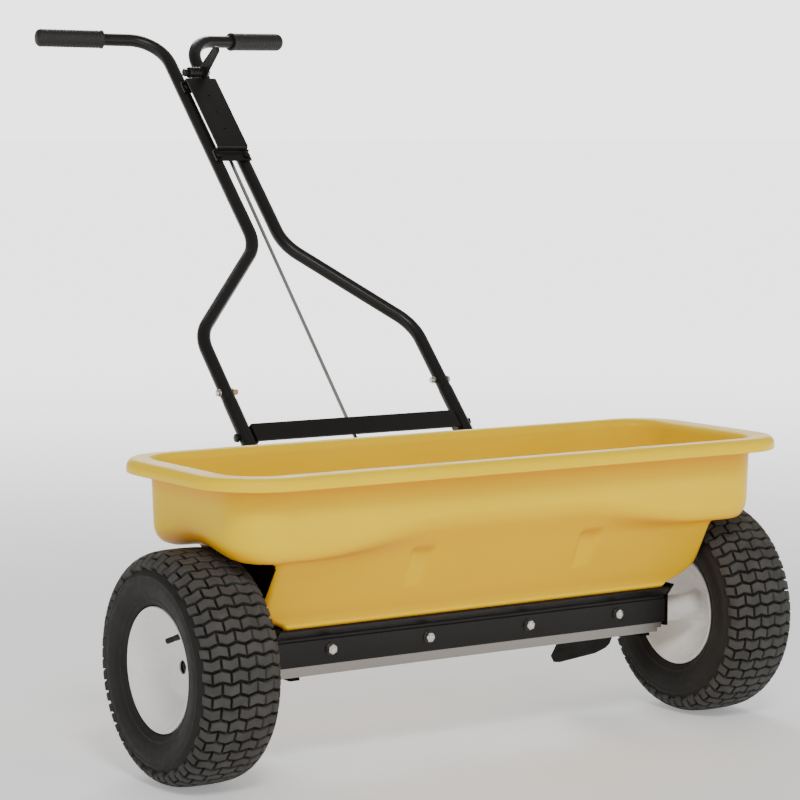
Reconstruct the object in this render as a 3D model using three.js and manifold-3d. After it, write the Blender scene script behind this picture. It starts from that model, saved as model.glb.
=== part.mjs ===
// A walk-behind drop spreader for salt and grit. A moulded trough hopper sits between two
// pneumatic wheels. The wheels turn an agitator inside the hopper, and a lever on the handle
// slides a shutter under the row of outlets in the bottom plate.
// Millimetres, +Z up. The axle runs along X, and the front of the machine faces -Y.
import * as THREE from 'three';
import { mergeVertices } from 'three/addons/utils/BufferGeometryUtils.js';
import Module from 'manifold-3d';

const wasm = await Module();
wasm.setup();

// ---- Driving dimensions ------------------------------------------------------------------

const GAP = 0.3; // between pieces that touch
const ORIGIN_SHIFT_Y = -366.3; // puts the origin under the middle of the whole machine

// Wheels: 13 x 5.00-6 tyres
const TYRE_RADIUS = 165;
const TYRE_SIDES = 32;
const WHEEL_X = 457.4; // tyre mid-plane
const AXLE_Z = TYRE_RADIUS;
const AXLE_RADIUS = 10;
const AXLE_HALF_LENGTH = 462;
const BORE_RADIUS = 10.5; // running bore on the axle
const HUB_RADIUS = 20;
const HUB_INNER_X = 360;
const RIM_FLANGE_RADIUS = 88.8;
const RIM_HALF_WIDTH = 51;

// Hopper
const HOPPER_LIP_Z = 445.4;
const HOPPER_SKIRT_Z = 426.6;
const HOPPER_WALL = 5;
const LIP_CENTRE_Y = -4;
const LEDGE_Z = 320;
const WELL_Z = 335; // underside over the wheels
const TROUGH_FRONT_Y = -43.9; // outer faces of the straight bottom part
const TROUGH_REAR_Y = 31.9;

// Rails, bottom plate and end plates
const RAIL_HALF_LENGTH = 351;
const REAR_OFFSET_Y = -12; // the rear rail is the front one mirrored in Y and moved by this
const BOLT_Z = 176.9;
const FRONT_BOLT_X = [-256.6, -89.8, 89.8, 256.6];
const REAR_BOLT_X = [-300, -89.8, 89.8, 300];
const BOLT_SHANK_RADIUS = 3.9;
const BOLT_HOLE_RADIUS = 4.2;
const WEB_TOP_Z = 142.8;
const WEB_BOTTOM_Z = 140.8;
const END_PLATE_X = 349;
const END_PLATE_THICKNESS = 5;
const BUSH_RADIUS = 15;
const BUSH_FLANGE_RADIUS = 22;

// Outlets and shutter
const OUTLET_COUNT = 7;
const OUTLET_PITCH = 88;
const OUTLET_LENGTH = 58;
const OUTLET_WIDTH = 15;
const OUTLET_Y = -6;
const SHUTTER_TRAVEL = 8.7; // each way from rest
const SHUTTER_Z = 138.4;
const SHEET = 2;

// Handle: its tubes lie in one sloping plane, in which u runs up the slope and n stands out
const HANDLE_ROOT_Y = -136.9; // where the plane meets the ground
const HANDLE_SLOPE = 0.9514; // Y gained per unit of Z
const STUB_X = 199.3;
const STUB_RADIUS = 11.2;
const TUBE_RADIUS = 10.6;
const TUBE_WALL = 1.8;
const JOINT_U = 678;
const JOINT_BOLT_U = 696;
const SPIGOT_LENGTH = 55;
const SPIGOT_RADIUS = 8.05; // clears the flats of the upper tube's bore
const LOW_BEND_U = 810;
const WAIST_X = 25.9;
const WAIST_U = 990;
const TOP_BEND_U = 1450.7;
const GRIP_DIRECTION = new THREE.Vector3(0.9804, 0.145, -0.1326);
const GRIP_START = 100.5; // from the top bend's corner
const GRIP_END = 216;
const GRIP_RADIUS = 15.1;
const BEND_RADIUS = 75;
const TOP_BEND_RADIUS = 64;
const CROSSBAR_U = 611;
const CROSSBAR_HEIGHT = 32;

// Control bracket, lever, rod and rocker
const BRACKET_HALF_WIDTH = 28.5;
const BRACKET_BOTTOM_U = 1182;
const BRACKET_TOP_U = 1339.5;
const BRACKET_FRONT_N = 26;
const PLATE = 3;
const PIVOT_U = 1355.5;
const PIVOT_N = 22;
const LEVER_ARM = 15;
const LEVER_LENGTH = 64;
const LEVER_LEAN = 4.5; // how far the lever's tip stands down the slope from its pivot
const ROD_RADIUS = 3;
const ROD_LOW = new THREE.Vector3(0, 62.4, 182);
const ROCKER_ARM = 24;
const ROCKER_THICKNESS = 4;

// ---- Materials ---------------------------------------------------------------------------

const FINISHES = {
  polyethylene: { color: 0xf4c820, roughness: 0.38, metalness: 0 },
  blackSteel: { color: 0x17150f, roughness: 0.35, metalness: 0.2 },
  stainless: { color: 0x9c948c, roughness: 0.35, metalness: 0.9 },
  zinc: { color: 0xb8b4aa, roughness: 0.35, metalness: 0.9 },
  bareSteel: { color: 0x6f6c68, roughness: 0.3, metalness: 0.9 },
  whiteEnamel: { color: 0xe6e2dc, roughness: 0.3, metalness: 0 },
  tyreRubber: { color: 0x33312f, roughness: 0.8, metalness: 0 },
  softRubber: { color: 0x201f1d, roughness: 0.7, metalness: 0 },
  bronze: { color: 0x8a6a3a, roughness: 0.5, metalness: 0.8 },
};

// ---- Solid helpers -----------------------------------------------------------------------

// A closed three.js geometry as a solid that can be cut and joined.
function solid(geometry) {
  const bare = geometry.clone();
  bare.deleteAttribute('normal');
  bare.deleteAttribute('uv');
  const merged = mergeVertices(bare, 1e-4);
  return new wasm.Manifold(new wasm.Mesh({
    numProp: 3,
    vertProperties: new Float32Array(merged.attributes.position.array),
    triVerts: new Uint32Array(merged.index.array),
  }));
}

function cut(body, ...tools) {
  return tools.reduce((left, tool) => left.subtract(solid(tool)), body);
}

function join(...geometries) {
  return geometries.map(solid).reduce((sum, next) => sum.add(next));
}

function geometryOf(body) {
  const { vertProperties, triVerts } = body.getMesh();
  const geometry = new THREE.BufferGeometry();
  geometry.setAttribute('position', new THREE.BufferAttribute(new Float32Array(vertProperties), 3));
  geometry.setIndex(new THREE.BufferAttribute(new Uint32Array(triVerts), 1));
  geometry.computeVertexNormals();
  return geometry;
}

function piece(name, shape, finish) {
  const geometry = shape.isBufferGeometry ? shape : geometryOf(shape);
  const mesh = new THREE.Mesh(geometry, new THREE.MeshStandardMaterial(FINISHES[finish]));
  mesh.name = name;
  return mesh;
}

function block([x0, x1], [y0, y1], [z0, z1]) {
  const box = new THREE.BoxGeometry(x1 - x0, y1 - y0, z1 - z0);
  return box.translate((x0 + x1) / 2, (y0 + y1) / 2, (z0 + z1) / 2);
}

// A round or many-sided bar between two points.
function bar(from, to, radius, sides = 10) {
  const start = new THREE.Vector3(...from);
  const axis = new THREE.Vector3(...to).sub(start);
  const rod = new THREE.CylinderGeometry(radius, radius, axis.length(), sides);
  rod.translate(0, axis.length() / 2, 0);
  const turn = new THREE.Quaternion().setFromUnitVectors(new THREE.Vector3(0, 1, 0), axis.normalize());
  return rod.applyQuaternion(turn).translate(start.x, start.y, start.z);
}

function outline(points) {
  return new THREE.Shape(points.map(([a, b]) => new THREE.Vector2(a, b)));
}

// A (y, z) outline drawn out along X.
function alongX(shape, x0, x1) {
  const body = new THREE.ExtrudeGeometry(shape, { depth: x1 - x0, bevelEnabled: false, curveSegments: 5 });
  const turn = new THREE.Matrix4().makeBasis(
    new THREE.Vector3(0, 1, 0),
    new THREE.Vector3(0, 0, 1),
    new THREE.Vector3(1, 0, 0),
  );
  return body.applyMatrix4(turn).translate(x0, 0, 0);
}

// An (x, y) outline drawn out along Z.
function alongZ(shape, z0, z1) {
  const body = new THREE.ExtrudeGeometry(shape, { depth: z1 - z0, bevelEnabled: false, curveSegments: 5 });
  return body.translate(0, 0, z0);
}

// A closed profile of [radius, x] points turned about an axis along X through the axle.
function turned(profile, sides, centreX = 0) {
  const points = profile.map(([radius, x]) => new THREE.Vector2(radius, x));
  const body = new THREE.LatheGeometry([...points, points[0].clone()], sides, Math.PI / sides);
  body.rotateZ(-Math.PI / 2);
  return body.translate(centreX, 0, AXLE_Z);
}

// The side of the machine that a piece is on, and the sign of its X.
const SIDES = [['left', -1], ['right', 1]];

// ---- Hopper ------------------------------------------------------------------------------

function smooth(low, high, value) {
  return THREE.MathUtils.smoothstep(value, low, high);
}

// Height of the lower edge of the upper walls: it rises over the wheels at the ends, and in a
// long shallow arch over the middle of the front and back.
function lowerEdgeZ(x, y) {
  const overWheel = 1 - smooth(0, 92, Math.abs(y));
  const overMiddle = 1 - smooth(110, 345, Math.abs(x));
  return LEDGE_Z + 2 + (WELL_Z - LEDGE_Z - 2) * overWheel + 31 * overMiddle;
}

function ledgeEdgeZ(x, y) {
  return LEDGE_Z + (WELL_Z - LEDGE_Z) * (1 - smooth(0, 92, Math.abs(y)));
}

// Points round a rectangle with rounded corners, always the same number of them.
function roundedRing(halfLength, frontY, rearY, radius, height) {
  const along = [-0.84, -0.42, 0, 0.42, 0.84];
  const cornerSteps = 3;
  const middleY = (frontY + rearY) / 2;
  const halfX = halfLength - radius;
  const halfY = (rearY - frontY) / 2 - radius;
  const ring = [];
  const add = (x, y) => ring.push([x, y, typeof height === 'function' ? height(x, y) : height]);
  const corner = (signX, signY, startAngle) => {
    for (let step = 0; step <= cornerSteps; step += 1) {
      const angle = startAngle + (step / cornerSteps) * Math.PI / 2;
      add(signX * halfX + radius * Math.cos(angle), middleY + signY * halfY + radius * Math.sin(angle));
    }
  };
  along.forEach((f) => add(f * halfX, frontY));
  corner(1, -1, -Math.PI / 2);
  [-0.5, 0, 0.5].forEach((f) => add(halfLength, middleY + f * halfY));
  corner(1, 1, 0);
  along.forEach((f) => add(-f * halfX, rearY));
  corner(-1, 1, Math.PI / 2);
  [-0.5, 0, 0.5].forEach((f) => add(-halfLength, middleY - f * halfY));
  corner(-1, -1, Math.PI);
  return ring;
}

// A skin through closed rings, the last joined back to the first.
function ringSkin(rings) {
  const count = rings[0].length;
  const triangles = [];
  rings.forEach((_, k) => {
    const above = ((k + 1) % rings.length) * count;
    for (let i = 0; i < count; i += 1) {
      const j = (i + 1) % count;
      triangles.push(k * count + i, k * count + j, above + j);
      triangles.push(k * count + i, above + j, above + i);
    }
  });
  const geometry = new THREE.BufferGeometry();
  geometry.setAttribute('position', new THREE.Float32BufferAttribute(rings.flat(2), 3));
  geometry.setIndex(triangles);
  return geometry;
}

// Half-length, front Y, rear Y, corner radius and height of each outer ring, going up. The
// ends bulge out low down, close inside the tyres.
function hopperOuterRings() {
  const lip = (halfWidth) => [LIP_CENTRE_Y - halfWidth, LIP_CENTRE_Y + halfWidth];
  return [
    roundedRing(336, TROUGH_FRONT_Y, TROUGH_REAR_Y, 6, 158),
    roundedRing(336, TROUGH_FRONT_Y, TROUGH_REAR_Y, 6, 198),
    roundedRing(340, -59.5, 47.5, 8, 214),
    roundedRing(352, -63.7, 50.5, 10, 221.5),
    roundedRing(370, -67.8, 53.4, 12, 229),
    roundedRing(383.5, -75, 58.8, 12, 242),
    roundedRing(387.5, -82.4, 64.4, 12, 255),
    roundedRing(384.5, -120, 105, 12, ledgeEdgeZ),
    roundedRing(438, -141, 141, 40, lowerEdgeZ),
    roundedRing(454.5, -146.5, 146.5, 54, (x, y) => lowerEdgeZ(x, y) + 18),
    roundedRing(459, -149, 149, 58, HOPPER_LIP_Z - 8),
    roundedRing(495, ...lip(176.5), 88, HOPPER_LIP_Z - 8),
    roundedRing(496.5, ...lip(178.5), 96, HOPPER_SKIRT_Z),
    roundedRing(500, ...lip(182), 100, HOPPER_SKIRT_Z),
    roundedRing(499, ...lip(180.5), 96, HOPPER_SKIRT_Z + 11),
    roundedRing(493.6, ...lip(174.3), 80, HOPPER_LIP_Z),
  ];
}

// The inner faces follow the outer ones a wall's thickness further in, going down.
function hopperInnerRings() {
  const wall = HOPPER_WALL;
  return [
    roundedRing(460, -151, 151, 58, HOPPER_LIP_Z - 0.4),
    roundedRing(453.5, -144, 144, 53, HOPPER_LIP_Z - 8),
    roundedRing(448.5, -141, 141, 48, (x, y) => lowerEdgeZ(x, y) + 20),
    roundedRing(432, -135, 135, 35, (x, y) => lowerEdgeZ(x, y) + wall),
    roundedRing(379, -115, 100, 10, (x, y) => ledgeEdgeZ(x, y) + wall),
    roundedRing(382, -78, 60, 10, 257),
    roundedRing(377.5, -70.8, 54.6, 10, 245),
    roundedRing(364, -63.8, 49.5, 9, 232.5),
    roundedRing(347, -59.5, 46.3, 8, 226),
    roundedRing(334, -55, 43, 6, 218),
    roundedRing(331, -39.3, 27.3, 2, 202),
    roundedRing(331, -39.3, 27.3, 2, 158),
  ];
}

// Two small stiffening recesses in the front face, deepest at the top.
const POCKET_X = [-149, 149];

function pocketWedge(x, halfWidth, extra) {
  const profile = outline([
    [-125 - 2, 318.6 + extra],
    [-112 + extra, 318.6 + extra],
    [-90.5, 264],
    [-125 - 2, 264],
  ]);
  return alongX(profile, x - halfWidth - extra, x + halfWidth + extra);
}

function hopper() {
  const shell = solid(ringSkin([...hopperOuterRings(), ...hopperInnerRings()]));
  const insideFace = outline([[-117, 323], [-96, 323], [-80, 264], [-93, 264]]);
  const lined = POCKET_X.reduce((sum, x) => sum.add(solid(alongX(insideFace, x - 22, x + 22))), shell);
  const recessed = cut(lined, ...POCKET_X.map((x) => pocketWedge(x, 17, 0)));
  const axleHole = bar([-345, 0, AXLE_Z], [345, 0, AXLE_Z], BUSH_RADIUS - 1, 16);
  return piece('hopper', cut(recessed, ...boltHoles(), axleHole), 'polyethylene');
}

// ---- Rails, plates and their bolts -------------------------------------------------------

function boltHoles() {
  const front = FRONT_BOLT_X.map((x) => bar([x, -60, BOLT_Z], [x, -30, BOLT_Z], BOLT_HOLE_RADIUS, 8));
  const rear = REAR_BOLT_X.map((x) => bar([x, 20, BOLT_Z], [x, 50, BOLT_Z], BOLT_HOLE_RADIUS, 8));
  return [...front, ...rear];
}

const RAIL_PROFILE = [[-46, 155.5], [-50, 155.5], [-50, 197.6], [-61.8, 209.7], [-58.9, 212.5], [-46, 199.2]];

function frontRail() {
  const body = solid(alongX(outline(RAIL_PROFILE), -RAIL_HALF_LENGTH + 3, RAIL_HALF_LENGTH - 3));
  return piece('front_rail', cut(body, ...boltHoles()), 'blackSteel');
}

function rearRail() {
  const profile = RAIL_PROFILE.map(([y, z]) => [-y + REAR_OFFSET_Y, z]).reverse();
  const body = solid(alongX(outline(profile), -RAIL_HALF_LENGTH + 3, RAIL_HALF_LENGTH - 3));
  const notches = SIDES.map(([, sign]) => {
    const low = handlePoint(sign * STUB_X, 230, 0);
    const high = handlePoint(sign * STUB_X, 330, 0);
    return bar(low.toArray(), high.toArray(), STUB_RADIUS + GAP * 2, 16);
  });
  return piece('rear_rail', cut(body, ...boltHoles(), ...notches), 'blackSteel');
}

function outletSlots(centreY) {
  const slots = [];
  for (let k = 0; k < OUTLET_COUNT; k += 1) {
    const x = (k - (OUTLET_COUNT - 1) / 2) * OUTLET_PITCH;
    const across = [centreY - OUTLET_WIDTH / 2, centreY + OUTLET_WIDTH / 2];
    slots.push(block([x - OUTLET_LENGTH / 2, x + OUTLET_LENGTH / 2], across, [130, 150]));
  }
  return slots;
}

// A stainless channel: its web holds the outlets, its flanges are clamped behind the rails.
function bottomPlate() {
  const front = TROUGH_FRONT_Y - GAP - 1.5;
  const rear = TROUGH_REAR_Y + GAP + 1.5;
  const profile = outline([
    [front, 186],
    [front, WEB_BOTTOM_Z],
    [rear, WEB_BOTTOM_Z],
    [rear, 186],
    [rear - 1.5, 186],
    [rear - 1.5, WEB_TOP_Z],
    [front + 1.5, WEB_TOP_Z],
    [front + 1.5, 186],
  ]);
  const body = solid(alongX(profile, -345, 345));
  const corners = SIDES.map(([, sign]) => {
    const ends = [sign * 337, sign * 350].sort((a, b) => a - b);
    return block(ends, [-60, 60], [130, 147]);
  });
  return piece('bottom_plate', cut(body, ...outletSlots(OUTLET_Y), ...corners, ...boltHoles()), 'stainless');
}

// The shutter hangs under the web. At rest its openings stand half over the outlets.
function shutter() {
  const body = join(
    block([-326, 326], [-31, 22], [SHUTTER_Z, SHUTTER_Z + SHEET]),
    block([-14, 14], [21, 96], [SHUTTER_Z, SHUTTER_Z + SHEET]),
  );
  const driveSlot = block([-4, 4], [ROCKER_PIVOT.y - 5.2, ROCKER_PIVOT.y + 5.2], [130, 150]);
  return piece('shutter', cut(body, ...outletSlots(OUTLET_Y + SHUTTER_TRAVEL), driveSlot), 'stainless');
}

// A strap that carries one end of the shutter under the bottom plate.
function shutterGuide([side, sign]) {
  const low = SHUTTER_Z - GAP - SHEET;
  const profile = outline([
    [-45.4, low],
    [33.4, low],
    [33.4, WEB_BOTTOM_Z - GAP],
    [32, WEB_BOTTOM_Z - GAP],
    [32, low + SHEET],
    [-41, low + SHEET],
    [-41, WEB_BOTTOM_Z - GAP],
    [-45.4, WEB_BOTTOM_Z - GAP],
  ]);
  const ends = [sign * 306, sign * 322].sort((a, b) => a - b);
  return piece(`shutter_guide_${side}`, alongX(profile, ...ends), 'blackSteel');
}

// The plate that closes one end of the trough and carries the axle's bush.
function endPlate([side, sign]) {
  const profile = outline([
    [-50, 150],
    [38, 150],
    [38, 198],
    [51, 213],
    [52, 216],
    [-64.5, 216],
    [-63, 213],
    [-50, 198],
  ]);
  const ends = [sign * END_PLATE_X, sign * (END_PLATE_X + END_PLATE_THICKNESS)].sort((a, b) => a - b);
  const hole = bar([ends[0] - 5, 0, AXLE_Z], [ends[1] + 5, 0, AXLE_Z], BUSH_RADIUS + GAP, 20);
  return piece(`end_plate_${side}`, cut(solid(alongX(profile, ...ends)), hole), 'blackSteel');
}

// A flanged bush, its flange outside the end plate.
function axleBush([side, sign]) {
  const flangeX = END_PLATE_X + END_PLATE_THICKNESS + GAP;
  const profile = [
    [BORE_RADIUS, sign * 345],
    [BUSH_RADIUS, sign * 345],
    [BUSH_RADIUS, sign * flangeX],
    [BUSH_FLANGE_RADIUS, sign * flangeX],
    [BUSH_FLANGE_RADIUS, sign * (flangeX + 4)],
    [BORE_RADIUS, sign * (flangeX + 4)],
  ];
  const body = turned(sign < 0 ? profile.reverse() : profile, 16);
  return piece(`axle_bush_${side}`, body, 'bronze');
}

// A hexagon-headed bolt with its washer, from (x, y, z) inwards along Y.
function railBolt(name, x, headY, inward, length) {
  const at = (depth) => [x, headY + inward * depth, BOLT_Z];
  const body = join(
    bar(at(0), at(1.7), 9.2, 12),
    bar(at(-5.2), at(0.4), 7.3, 6),
    bar(at(0.2), at(length), BOLT_SHANK_RADIUS, 8),
  );
  return piece(name, body, 'zinc');
}

function railBolts() {
  const front = FRONT_BOLT_X.map((x, k) => (
    railBolt(`front_rail_bolt_${k + 1}`, x, -50 - GAP - 1.7, 1, 16)
  ));
  const rear = REAR_BOLT_X.map((x, k) => {
    const face = Math.abs(x) > 200 ? 43.3 : 38;
    return railBolt(`rear_rail_bolt_${k + 1}`, x, face + GAP + 1.7, -1, face - 38 + 16);
  });
  return [...front, ...rear];
}

// ---- Stand -------------------------------------------------------------------------------

// A flared leg that hangs clear of the ground and takes the load when the machine leans back.
function standLeg([side, sign]) {
  const slope = Math.atan2(88, 94);
  const blade = alongZ(outline([
    [239, 0],
    [334, 0],
    [365, 92],
    [364, 104],
    [350, 117],
    [288, 131],
    [274, 128],
    [264, 116],
    [246, 40],
  ]), 0, 5);
  blade.rotateX(-slope).translate(0, 43.3 - 5 * Math.sin(slope), 158 - 5 * Math.cos(slope) + 3);
  const tab = block([246, 328], [38.3, 43.3], [158, 192]);
  const body = cut(join(blade, tab), block([200, 400], [0, 38.3], [0, 300]), ...boltHoles());
  const geometry = geometryOf(sign > 0 ? body : body.mirror([1, 0, 0]));
  return piece(`stand_leg_${side}`, geometry, 'blackSteel');
}

// ---- Axle, agitator and wheels -----------------------------------------------------------

const AGITATOR_HALF_LENGTH = 325;
const FINGER_COUNT = 10;
const FINGER_PITCH = 62;

function axle() {
  const body = solid(bar([-AXLE_HALF_LENGTH, 0, AXLE_Z], [AXLE_HALF_LENGTH, 0, AXLE_Z], AXLE_RADIUS, 20));
  const pinHoles = [0, 372].map((x) => bar([x, 0, AXLE_Z - 20], [x, 0, AXLE_Z + 20], 3.3, 10));
  return piece('axle', cut(body, ...pinHoles), 'bareSteel');
}

// A sleeve on the axle with short fingers that keep the salt moving.
function agitator() {
  const sleeve = solid(turned([
    [BORE_RADIUS + GAP, AGITATOR_HALF_LENGTH],
    [BORE_RADIUS + GAP, -AGITATOR_HALF_LENGTH],
    [14, -AGITATOR_HALF_LENGTH],
    [14, AGITATOR_HALF_LENGTH],
  ], 12));
  let body = sleeve;
  for (let k = 0; k < FINGER_COUNT; k += 1) {
    const x = (k - (FINGER_COUNT - 1) / 2) * FINGER_PITCH;
    const angle = k * Math.PI / 2;
    const direction = [Math.sin(angle), Math.cos(angle)];
    const at = (radius) => [x, direction[0] * radius, AXLE_Z + direction[1] * radius];
    body = body.add(solid(bar(at(12.5), at(20), 4, 6)));
  }
  const pinHole = bar([0, 0, AXLE_Z - 20], [0, 0, AXLE_Z + 20], 3.3, 10);
  return piece('agitator', cut(body, pinHole), 'bareSteel');
}

function crossPin(name, x, halfLength) {
  return piece(name, bar([x, 0, AXLE_Z - halfLength], [x, 0, AXLE_Z + halfLength], 3, 10), 'zinc');
}

// Radius and distance from the mid-plane, round the tyre's hollow section.
const TYRE_CORNER_RADIUS = TYRE_RADIUS / Math.cos(Math.PI / TYRE_SIDES);
const TYRE_OUTSIDE = [[TYRE_CORNER_RADIUS, 40], [158, 54], [128, 63.5], [92, 50]];
const TYRE_INSIDE = [[92, 43], [126, 57], [152, 44]];

function tyre([side, sign]) {
  const mirror = (points) => points.map(([radius, x]) => [radius, -x]).reverse();
  const outer = [...mirror(TYRE_OUTSIDE), [TYRE_CORNER_RADIUS, 0], ...TYRE_OUTSIDE];
  const inner = [...TYRE_INSIDE, [156, 0], ...mirror(TYRE_INSIDE)];
  return piece(`tyre_${side}`, turned([...outer, ...inner], TYRE_SIDES, sign * WHEEL_X), 'tyreRubber');
}

// One wheel in section: a deep smooth bowl on each face, a flanged barrel for the tyre, and a
// hub tube that reaches in to the end plate. x grows towards the middle of the machine.
function rimProfile(counterbore) {
  const inwardHub = WHEEL_X - HUB_INNER_X;
  return [
    [counterbore, -10],
    [45, -13],
    [66, -25],
    [79, -42],
    [RIM_FLANGE_RADIUS - 2, -RIM_HALF_WIDTH],
    [RIM_FLANGE_RADIUS, -RIM_HALF_WIDTH + 2],
    [80, -34],
    [80, 34],
    [RIM_FLANGE_RADIUS, RIM_HALF_WIDTH - 2],
    [RIM_FLANGE_RADIUS - 2, RIM_HALF_WIDTH],
    [76, 35],
    [60, 15],
    [HUB_RADIUS + 3, 4],
    [HUB_RADIUS, 8],
    [HUB_RADIUS, inwardHub],
    [BORE_RADIUS, inwardHub],
    [BORE_RADIUS, -4],
    [counterbore, -4],
  ];
}

function rim([side, sign]) {
  const profile = rimProfile(13).map(([radius, x]) => [radius, -sign * x]);
  let body = solid(turned(sign > 0 ? profile.reverse() : profile, 24, sign * WHEEL_X));
  if (sign > 0) {
    body = cut(body, bar([372, 0, AXLE_Z - 30], [372, 0, AXLE_Z + 30], 3.3, 10));
  }
  body = cut(body, valveShape(sign, 4.6, 60, 30));
  return piece(`rim_${side}`, body, 'whiteEnamel');
}

// The valve stands inwards and outwards from the front upper part of the bowl.
function valveShape(sign, radius, start, length) {
  const tip = new THREE.Vector3(sign * 503, -16, AXLE_Z + 42);
  const root = new THREE.Vector3(sign * 480, -46, AXLE_Z + 58);
  const direction = root.clone().sub(tip).normalize();
  const from = tip.clone().addScaledVector(direction, start);
  const to = from.clone().addScaledVector(direction, -length);
  return bar(from.toArray(), to.toArray(), radius, 12);
}

function valveStem([side, sign]) {
  return piece(`valve_stem_${side}`, valveShape(sign, 4.2, 44, 43), 'softRubber');
}

// The ring that keeps the free wheel on the end of the axle.
function axleRing() {
  const outerX = -AXLE_HALF_LENGTH - 0.3;
  return piece('axle_end_ring', turned([
    [3, outerX],
    [3, outerX - 1.6],
    [12.5, outerX - 1.6],
    [12.5, outerX],
  ], 20), 'bareSteel');
}

// ---- Handle ------------------------------------------------------------------------------

const HANDLE_ANGLE = Math.atan2(1, HANDLE_SLOPE);

function handlePoint(x, u, n) {
  const point = new THREE.Vector3(x, u, n).applyAxisAngle(new THREE.Vector3(1, 0, 0), HANDLE_ANGLE);
  return point.add(new THREE.Vector3(0, HANDLE_ROOT_Y, 0));
}

// A centre line of straight runs and round bends, with a station wherever a ring belongs.
class BentPath extends THREE.Curve {
  constructor(corners, radii, bendSteps) {
    super();
    this.stations = [corners[0]];
    for (let k = 1; k < corners.length - 1; k += 1) {
      this.addBend(corners[k - 1], corners[k], corners[k + 1], radii[k - 1], bendSteps);
    }
    this.stations.push(corners.at(-1));
  }

  addBend(before, corner, after, radius, steps) {
    const arriving = corner.clone().sub(before).normalize();
    const leaving = after.clone().sub(corner).normalize();
    const turn = arriving.angleTo(leaving);
    const reach = radius * Math.tan(turn / 2);
    const start = corner.clone().addScaledVector(arriving, -reach);
    const inwards = leaving.clone().addScaledVector(arriving, -leaving.dot(arriving)).normalize();
    for (let step = 0; step <= steps; step += 1) {
      const angle = (step / steps) * turn;
      const point = start.clone().addScaledVector(arriving, radius * Math.sin(angle));
      this.stations.push(point.addScaledVector(inwards, radius * (1 - Math.cos(angle))));
    }
  }

  getPoint(t) {
    const place = t * (this.stations.length - 1);
    const index = Math.min(Math.floor(place), this.stations.length - 2);
    return this.stations[index].clone().lerp(this.stations[index + 1], place - index);
  }

  getPointAt(u) {
    return this.getPoint(u);
  }

  getTangentAt(u) {
    const step = 0.5 / (this.stations.length - 1);
    const ahead = this.getPoint(Math.min(1, u + step));
    return ahead.sub(this.getPoint(Math.max(0, u - step))).normalize();
  }

  get steps() {
    return this.stations.length - 1;
  }
}

function sweep(path, radius, boreRadius, curveSegments) {
  const section = new THREE.Shape();
  section.absarc(0, 0, radius, 0, Math.PI * 2, false);
  if (boreRadius > 0) {
    const bore = new THREE.Path();
    bore.absarc(0, 0, boreRadius, 0, Math.PI * 2, true);
    section.holes.push(bore);
  }
  return new THREE.ExtrudeGeometry(section, { steps: path.steps, extrudePath: path, curveSegments });
}

function upperTubePath(sign) {
  const corner = (x, u) => new THREE.Vector3(sign * x, u, 0);
  const topBend = corner(WAIST_X, TOP_BEND_U);
  const outwards = GRIP_DIRECTION.clone();
  outwards.x *= sign;
  const corners = [
    corner(STUB_X, JOINT_U),
    corner(STUB_X, LOW_BEND_U),
    corner(WAIST_X, WAIST_U),
    topBend,
    topBend.clone().addScaledVector(outwards, GRIP_END - 12),
  ];
  return new BentPath(corners, [BEND_RADIUS, BEND_RADIUS, TOP_BEND_RADIUS], 4);
}

function upperTube([side, sign]) {
  const body = solid(sweep(upperTubePath(sign), TUBE_RADIUS, TUBE_RADIUS - TUBE_WALL, 5));
  const x = sign * STUB_X;
  const jointHole = bar([x - 20, JOINT_BOLT_U, 0], [x + 20, JOINT_BOLT_U, 0], 3.3, 10);
  const bracketHoles = bracketBoltPlaces().map(([, u]) => (
    bar([sign * WAIST_X, u, -20], [sign * WAIST_X, u, 20], 3.3, 10)
  ));
  return piece(`upper_tube_${side}`, cut(body, jointHole, ...bracketHoles), 'blackSteel');
}

// The stub rises from the rear rail, and its reduced end fits inside the upper tube.
function lowerTube([side, sign]) {
  const x = sign * STUB_X;
  const body = join(
    bar([x, 230, 0], [x, JOINT_U - GAP, 0], STUB_RADIUS, 16),
    bar([x, JOINT_U - 4, 0], [x, JOINT_U + SPIGOT_LENGTH, 0], SPIGOT_RADIUS, 16),
  );
  const bore = bar([x, 200, 0], [x, JOINT_U + SPIGOT_LENGTH + 5, 0], SPIGOT_RADIUS - TUBE_WALL, 12);
  const jointHole = bar([x - 20, JOINT_BOLT_U, 0], [x + 20, JOINT_BOLT_U, 0], 3.3, 10);
  const barHole = bar([x - 20, CROSSBAR_U, -3], [x + 20, CROSSBAR_U, -3], 4.3, 10);
  // The foot of the tube is cut upright, to stand against the rear rail.
  const foot = block([x - 20, x + 20], [-60, 38.4], [100, 300]);
  foot.translate(0, -HANDLE_ROOT_Y, 0).rotateX(-HANDLE_ANGLE);
  return piece(`lower_tube_${side}`, cut(body, bore, jointHole, barHole, foot), 'blackSteel');
}

function jointBolt([side, sign]) {
  const at = (x) => [sign * (STUB_X + x), JOINT_BOLT_U, 0];
  const reach = TUBE_RADIUS + GAP;
  const body = join(
    bar(at(reach), at(reach + 4.5), 5.8, 6),
    bar(at(reach + 0.5), at(-reach - 5), 3, 10),
  );
  return piece(`joint_bolt_${side}`, body, 'zinc');
}

// The nut leaves a running gap on the bolt's shank, so the two stay separate.
function jointNut([side, sign]) {
  const at = (x) => [sign * (STUB_X - x), JOINT_BOLT_U, 0];
  const reach = TUBE_RADIUS + GAP;
  const shell = join(bar(at(reach), at(reach + 5), 5.8, 6), bar(at(reach + 4.5), at(reach + 9), 4.4, 10));
  const thread = bar(at(reach - 2), at(reach + 5.6), 3.2, 10);
  return piece(`joint_nut_${side}`, cut(shell, thread), 'zinc');
}

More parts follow.
